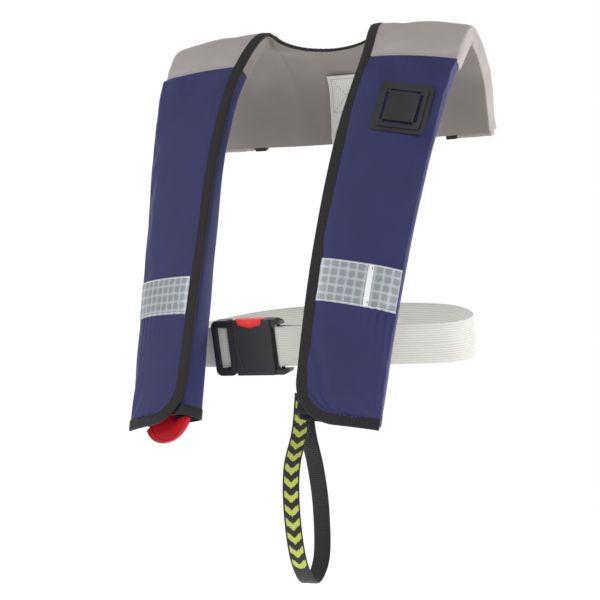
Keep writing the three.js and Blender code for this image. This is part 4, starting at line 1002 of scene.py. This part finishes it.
def behind_neck(x, t):
    return lambda dw: place_middle(x, t, 0, dw)


neck_path = [(at(1, t, 1, 0), at(1, t, 1, -BINDING)) for t in steps(SEAM, 0, 22)]
neck_path += [(behind_neck(x, 0), behind_neck(x, neck_start + 0.01)) for x in middle_places]
neck_path += [(at(-1, t, 1, 0), at(-1, t, 1, -BINDING)) for t in steps(0, SEAM, 22)]
neck_tape = bound_edge("neck_edge_binding", neck_path)
dress(neck_tape, black_grosgrain, 50)
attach(neck_tape, "vest")
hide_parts("neck_binding")
stitch_line("neck_stitches", surface_of(neck_tape), stitch_row(neck_path), black_thread, "vest")
for name, side in SIDES:
    path = [place(side, SEAM - 3.5 / seam_span, f, -BINDING * f) for f in steps(0.03, 1, 40)]
    stitch_line(f"seam_stitches_{name}", cover_tree, path, grey_thread, "vest")
HEM_ROW = BACK + 0.06  # the station of the stitches above the yoke's hem
path = [place(1, HEM_ROW, f, -BINDING * f) for f in steps(0.03, 1, 30)]
path += [place_middle(x, HEM_ROW) for x in middle_places]
path += [place(-1, HEM_ROW, f, -BINDING * f) for f in steps(1, 0.03, 30)]
stitch_line("yoke_hem_stitches", cover_tree, path, grey_thread, "vest")
print("lining and neck done")

# %% [markdown]
# The rear pads and the folded bladder are stuffed shapes. Each starts from its solid, is rebuilt of
# small even faces and blown up a little as closed cloth.

# %% Padded pieces
def stuffed(node, name, material, voxel, pressure, cap, shrink, rounded=True):
    """A padded piece from its solid, made a little smaller first so that it has room to swell."""
    piece = copy_of(node, name)
    modify(piece, "REMESH", mode="VOXEL", voxel_size=voxel)
    normals = [v.normal.copy() for v in piece.data.vertices]
    for v, normal in zip(piece.data.vertices, normals):
        v.co -= normal * shrink
    modify(piece, "SMOOTH", factor=0.6, iterations=4)
    billow(piece, pressure, 0.0, cap)
    wrinkle(piece, 0.0008, 50.0, len(name))
    if rounded:
        divide(piece)
    map_weave(piece)
    dress(piece, material, 80)
    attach(piece, "vest")
    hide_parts(node)
    return piece


for name, side in SIDES:
    stuffed(f"rear_pad_{name}", f"rear_cushion_{name}", grey_oxford, 0.0015, 4.0, 0.0012,
            0.0006)
stuffed("bladder", "folded_bladder", bladder_nylon, 0.0024, 0.5, 0.0005, 0.0012, False)
print("padded pieces made")

# %% [markdown]
# Webbing is a flat woven band with rounded edges. The solid band is a chain of four-cornered
# sections, so the sections are read from it in order, and the band is woven again between them
# with a fuller section, a slight crown and a map that follows it.

# %% Webbing
def sections_of(node, start):
    """The middle, width vector and thickness vector of each section, from the end nearest to start."""
    mesh = bmesh.new()
    mesh.from_mesh(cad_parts[node].data)
    bmesh.ops.remove_doubles(mesh, verts=mesh.verts, dist=DOUBLES)
    found = []
    for edge in mesh.edges:
        pair = edge.link_faces
        if len(pair) != 2 or pair[0].normal.dot(pair[1].normal) < 0.9999:
            continue
        # sorted, because a set gives its corners in another order on each run
        ring = sorted({v for face in pair for v in face.verts}, key=lambda v: v.co[:])
        seen, chain = set(ring), [ring]
        while chain[-1] and len(chain[-1]) == 4:
            following = []
            for v in chain[-1]:
                for other in (e.other_vert(v) for e in v.link_edges):
                    if other not in seen:
                        seen.add(other)
                        following.append(other)
            chain.append(following)
        if not chain[-1] and len(seen) == len(mesh.verts):
            found.append([[v.co.copy() for v in ring] for ring in chain[:-1]])
    mesh.free()
    chain = min(found, key=lambda c: (sum(c[0], Vector()) / 4 - Vector(start)).length)
    first = chain[0]
    a = first[0]
    near = sorted(first[1:], key=lambda p: (p - a).length)
    ordered = [a, near[1], near[2], near[0]]  # along the width, then the thickness, and back
    corners = [ordered]
    for ring in chain[1:]:
        last = corners[-1]
        corners.append(min(permutations(ring), key=lambda c: sum((p - q).length for p, q in zip(c, last))))
    return [((a + b + c + d) / 4, (b - a + c - d) / 2, (d - a + c - b) / 2) for a, b, c, d in corners]


def smooth_between(values, between):
    """Points between the values on a smooth curve through them all."""
    made = []
    for i in range(len(values) - 1):
        a, b = values[i], values[i + 1]
        before, after = values[max(i - 1, 0)], values[min(i + 2, len(values) - 1)]
        for k in range(between):
            s = k / between
            made.append(0.5 * (2 * a + (b - before) * s + (2 * before - 5 * a + 4 * b - after) * s * s
                               + (3 * a - before - 3 * b + after) * s ** 3))
    return made + [values[-1]]


EDGE_BAND, EDGE_THINNING = 0.04, 0.55  # the rounded edge: share of the width, share of the thickness


def webbing(node, name, material, body, start, outward, between=3):
    """The band woven again along its sections, from the end nearest to start, facing outward."""
    sections = sections_of(node, start)
    if sections[0][2].dot(Vector(outward)) < 0:
        sections = [(middle, -wide, -thick) for middle, wide, thick in sections]
    parts = [smooth_between([section[k] for section in sections], between) for k in range(3)]
    across = steps(-0.5, 0.5, 12)
    half = len(across) // 2
    around = [(s, -1) for s in across[half:]] + [(s, 1) for s in reversed(across)]
    around += [(s, -1) for s in across[:half + 1]]
    rings = []
    for middle, wide, thick in zip(*parts):
        ring = []
        for share, face in around:
            rounded = 1 - EDGE_THINNING * max(abs(share) - 0.5 + EDGE_BAND, 0) / EDGE_BAND
            ring.append(middle + wide * share + thick * (0.5 * face * rounded))
        rings.append(ring)
    piece = finish_normals(grid_piece(name, rings, middle=len(rings[0]) // 2), fill=True)
    dress(piece, material, 50)
    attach(piece, body)
    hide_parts(node)
    print(name, len(rings), "sections")
    return piece


AHEAD, BEHIND = (0, -1, 0), (0, 1, 0)
webbing("waist_belt", "belt_webbing_band", belt_polyester, "vest",
        (0.038, -0.1, -0.37), AHEAD)
webbing("adjusting_strap", "adjusting_webbing", belt_polyester, "tongue",
        (-0.086, -0.1, -0.37), AHEAD, 6)
back_band = webbing("back_strap", "back_strap_webbing", belt_polyester, "vest",
                    (0, 0.054, -0.047), BEHIND, 5)
band_tree = surface_of(back_band)
BOX_HALF, BOX_TOP, BOX_LOW = 0.018, -0.051, -0.089  # the sewn box with a cross, on the strap's front face
box = [(-BOX_HALF, BOX_TOP), (BOX_HALF, BOX_TOP), (BOX_HALF, BOX_LOW), (-BOX_HALF, BOX_LOW),
       (-BOX_HALF, BOX_TOP), (BOX_HALF, BOX_LOW)]
cross = [(BOX_HALF, BOX_TOP), (-BOX_HALF, BOX_LOW)]
for label, corners in (("box", box), ("cross", cross)):
    path = []
    for (x0, z0), (x1, z1) in zip(corners, corners[1:]):
        path += [Vector((x0 + (x1 - x0) * s, 0.03, z0 + (z1 - z0) * s)) for s in steps(0, 1, 12)]
    hits = [band_tree.ray_cast(p, Vector(BEHIND))[0] for p in path]
    path = [p for p in hits if p]
    stitch_line(f"strap_{label}_stitches", band_tree, path, grey_thread, "vest")
webbing("grab_handle", "handle_webbing_loop", chevron_webbing, "handle",
        (0.057, -0.17, -0.424), AHEAD)

# %% [markdown]
# The moulded and turned parts keep their solid shapes. Their doubled corners are welded, and a small
# bevel gives every edge the radius that a mould leaves, which is what catches the light.

# %% Moulded and metal parts
HARD = {
    black_acetal: (0.0006, "buckle_body buckle_tongue_frame slide_bar"),
    patch_nylon: (0.0007, "accessory_patch buckle_back_cover inflator_body oral_tube manifold_nut lever_pin"),
    red_acetal: (0.0007, "release_button buckle_latch"),
    red_tab: (0.0006, "pull_handle"),
    plated_steel: (0.0003, "gas_cylinder piercing_pin"),
    black_rubber: (0.0003, "manifold_gasket bladder_manifold oral_valve_poppet"),
    yellow_plastic: (0.0005, "whistle water_cartridge"),
    green_plastic: (0.0003, "status_indicator"),
    natural_acetal: (0.0004, "trigger_lever"),
    orange_plastic: (0.0005, "sensor_cap oral_cap"),
    red_braid: (0.0, "pull_cord"),
    black_braid: (0.0, "whistle_cord"),
}
for material, (radius, names) in HARD.items():
    for node in names.split():
        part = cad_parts[node]
        part.data.materials.clear()
        part.data.materials.append(material)
        weld = part.modifiers.new("weld", "WELD")
        weld.merge_threshold = 0.00002
        if radius:
            bevel = part.modifiers.new("edge radius", "BEVEL")
            bevel.width = radius
            bevel.segments = 2
            bevel.limit_method = "ANGLE"
            bevel.angle_limit = math.radians(32)
            bevel.use_clamp_overlap = True
print("moulded parts:", sum(len(names.split()) for _, names in HARD.values()))

# %% [markdown]
# Two coil springs get shorter when a button or a valve is pressed. Here each is copied from its solid
# in plated steel, with a mesh of its own, and keeps its shape.

# %% Springs
def spring(node, name):
    """A coil copied from its solid in plated steel, with a mesh of its own."""
    piece = copy_of(node, name)
    dress(piece, plated_steel, 60)
    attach(piece, "vest")
    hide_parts(node)
    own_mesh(piece)


spring("latch_spring", "latch_coil")
spring("oral_valve_spring", "valve_coil")

# %% [markdown]
# The buckle's body has a curved parting line where its two halves meet, and a rolled lower lip. Both
# are fine beads that stand on its face. A curve with a round section is drawn in the buckle's own
# directions, which lean forward at the top, and is then made a mesh.

# %% Beads on the buckle
BUCKLE_PLACE = Vector((-0.027, -0.107, -0.371))
BUCKLE_LEAN = Matrix.Rotation(0.26, 3, "X")
FACE = -7.0  # the buckle's front face, in millimetres
BEAD = 0.8  # radius of a bead, in millimetres
RIM = 0.7


def on_face(x, z):
    """A point of the buckle's front face, from millimetres along it and up it."""
    return BUCKLE_PLACE + BUCKLE_LEAN @ Vector((x, FACE, z)) * MM


def bead(name, points, radius, material, body):
    """A fine round bead along points of a moulded face."""
    curve = bpy.data.curves.new(name, "CURVE")
    curve.dimensions = "3D"
    curve.bevel_depth = radius * MM
    curve.bevel_resolution = 3
    curve.use_fill_caps = True
    line = curve.splines.new("POLY")
    line.points.add(len(points) - 1)
    for point, spot in zip(line.points, points):
        point.co = (*spot, 1)
    piece = new_piece(name, curve)
    use(piece)
    bpy.ops.object.convert(target="MESH")
    finish_normals(piece)
    dress(piece, material, 60)
    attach(piece, body)


parting = [on_face(-18.6 - 2.2 * math.sin(s * 3.4) + 7.5 * max(s - 0.35, 0), 29.5 - 59 * s)
           for s in steps(0, 1, 24)]
bead("buckle_parting_bead", parting, BEAD, patch_nylon, "vest")
lip = [on_face(x, -27.5) for x in steps(-9.5, 23.5, 12)]
bead("buckle_lip_bead", lip, BEAD, patch_nylon, "vest")

tab_tree = surface_of(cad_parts["pull_handle"])
tab_low, tab_high = (Vector(c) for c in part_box("pull_handle"))
tab_half = (tab_high.x - tab_low.x) / 2
RIM_INSET = 0.0026  # the tab's raised rim follows its round lower edge
rim = []
for angle in steps(math.radians(196), math.radians(344), 36):
    reach = tab_half - RIM_INSET
    ahead = Vector((tab_low.x + tab_half + reach * math.cos(angle), tab_low.y - 0.02,
                    tab_low.z + tab_half + reach * math.sin(angle)))
    hit = tab_tree.ray_cast(ahead, Vector(BEHIND))[0]
    if hit:
        rim.append(hit)
bead("tab_rim_bead", rim, RIM, red_tab, "pull")
print("beads on the buckle and", len(rim), "points of rim on the tab")
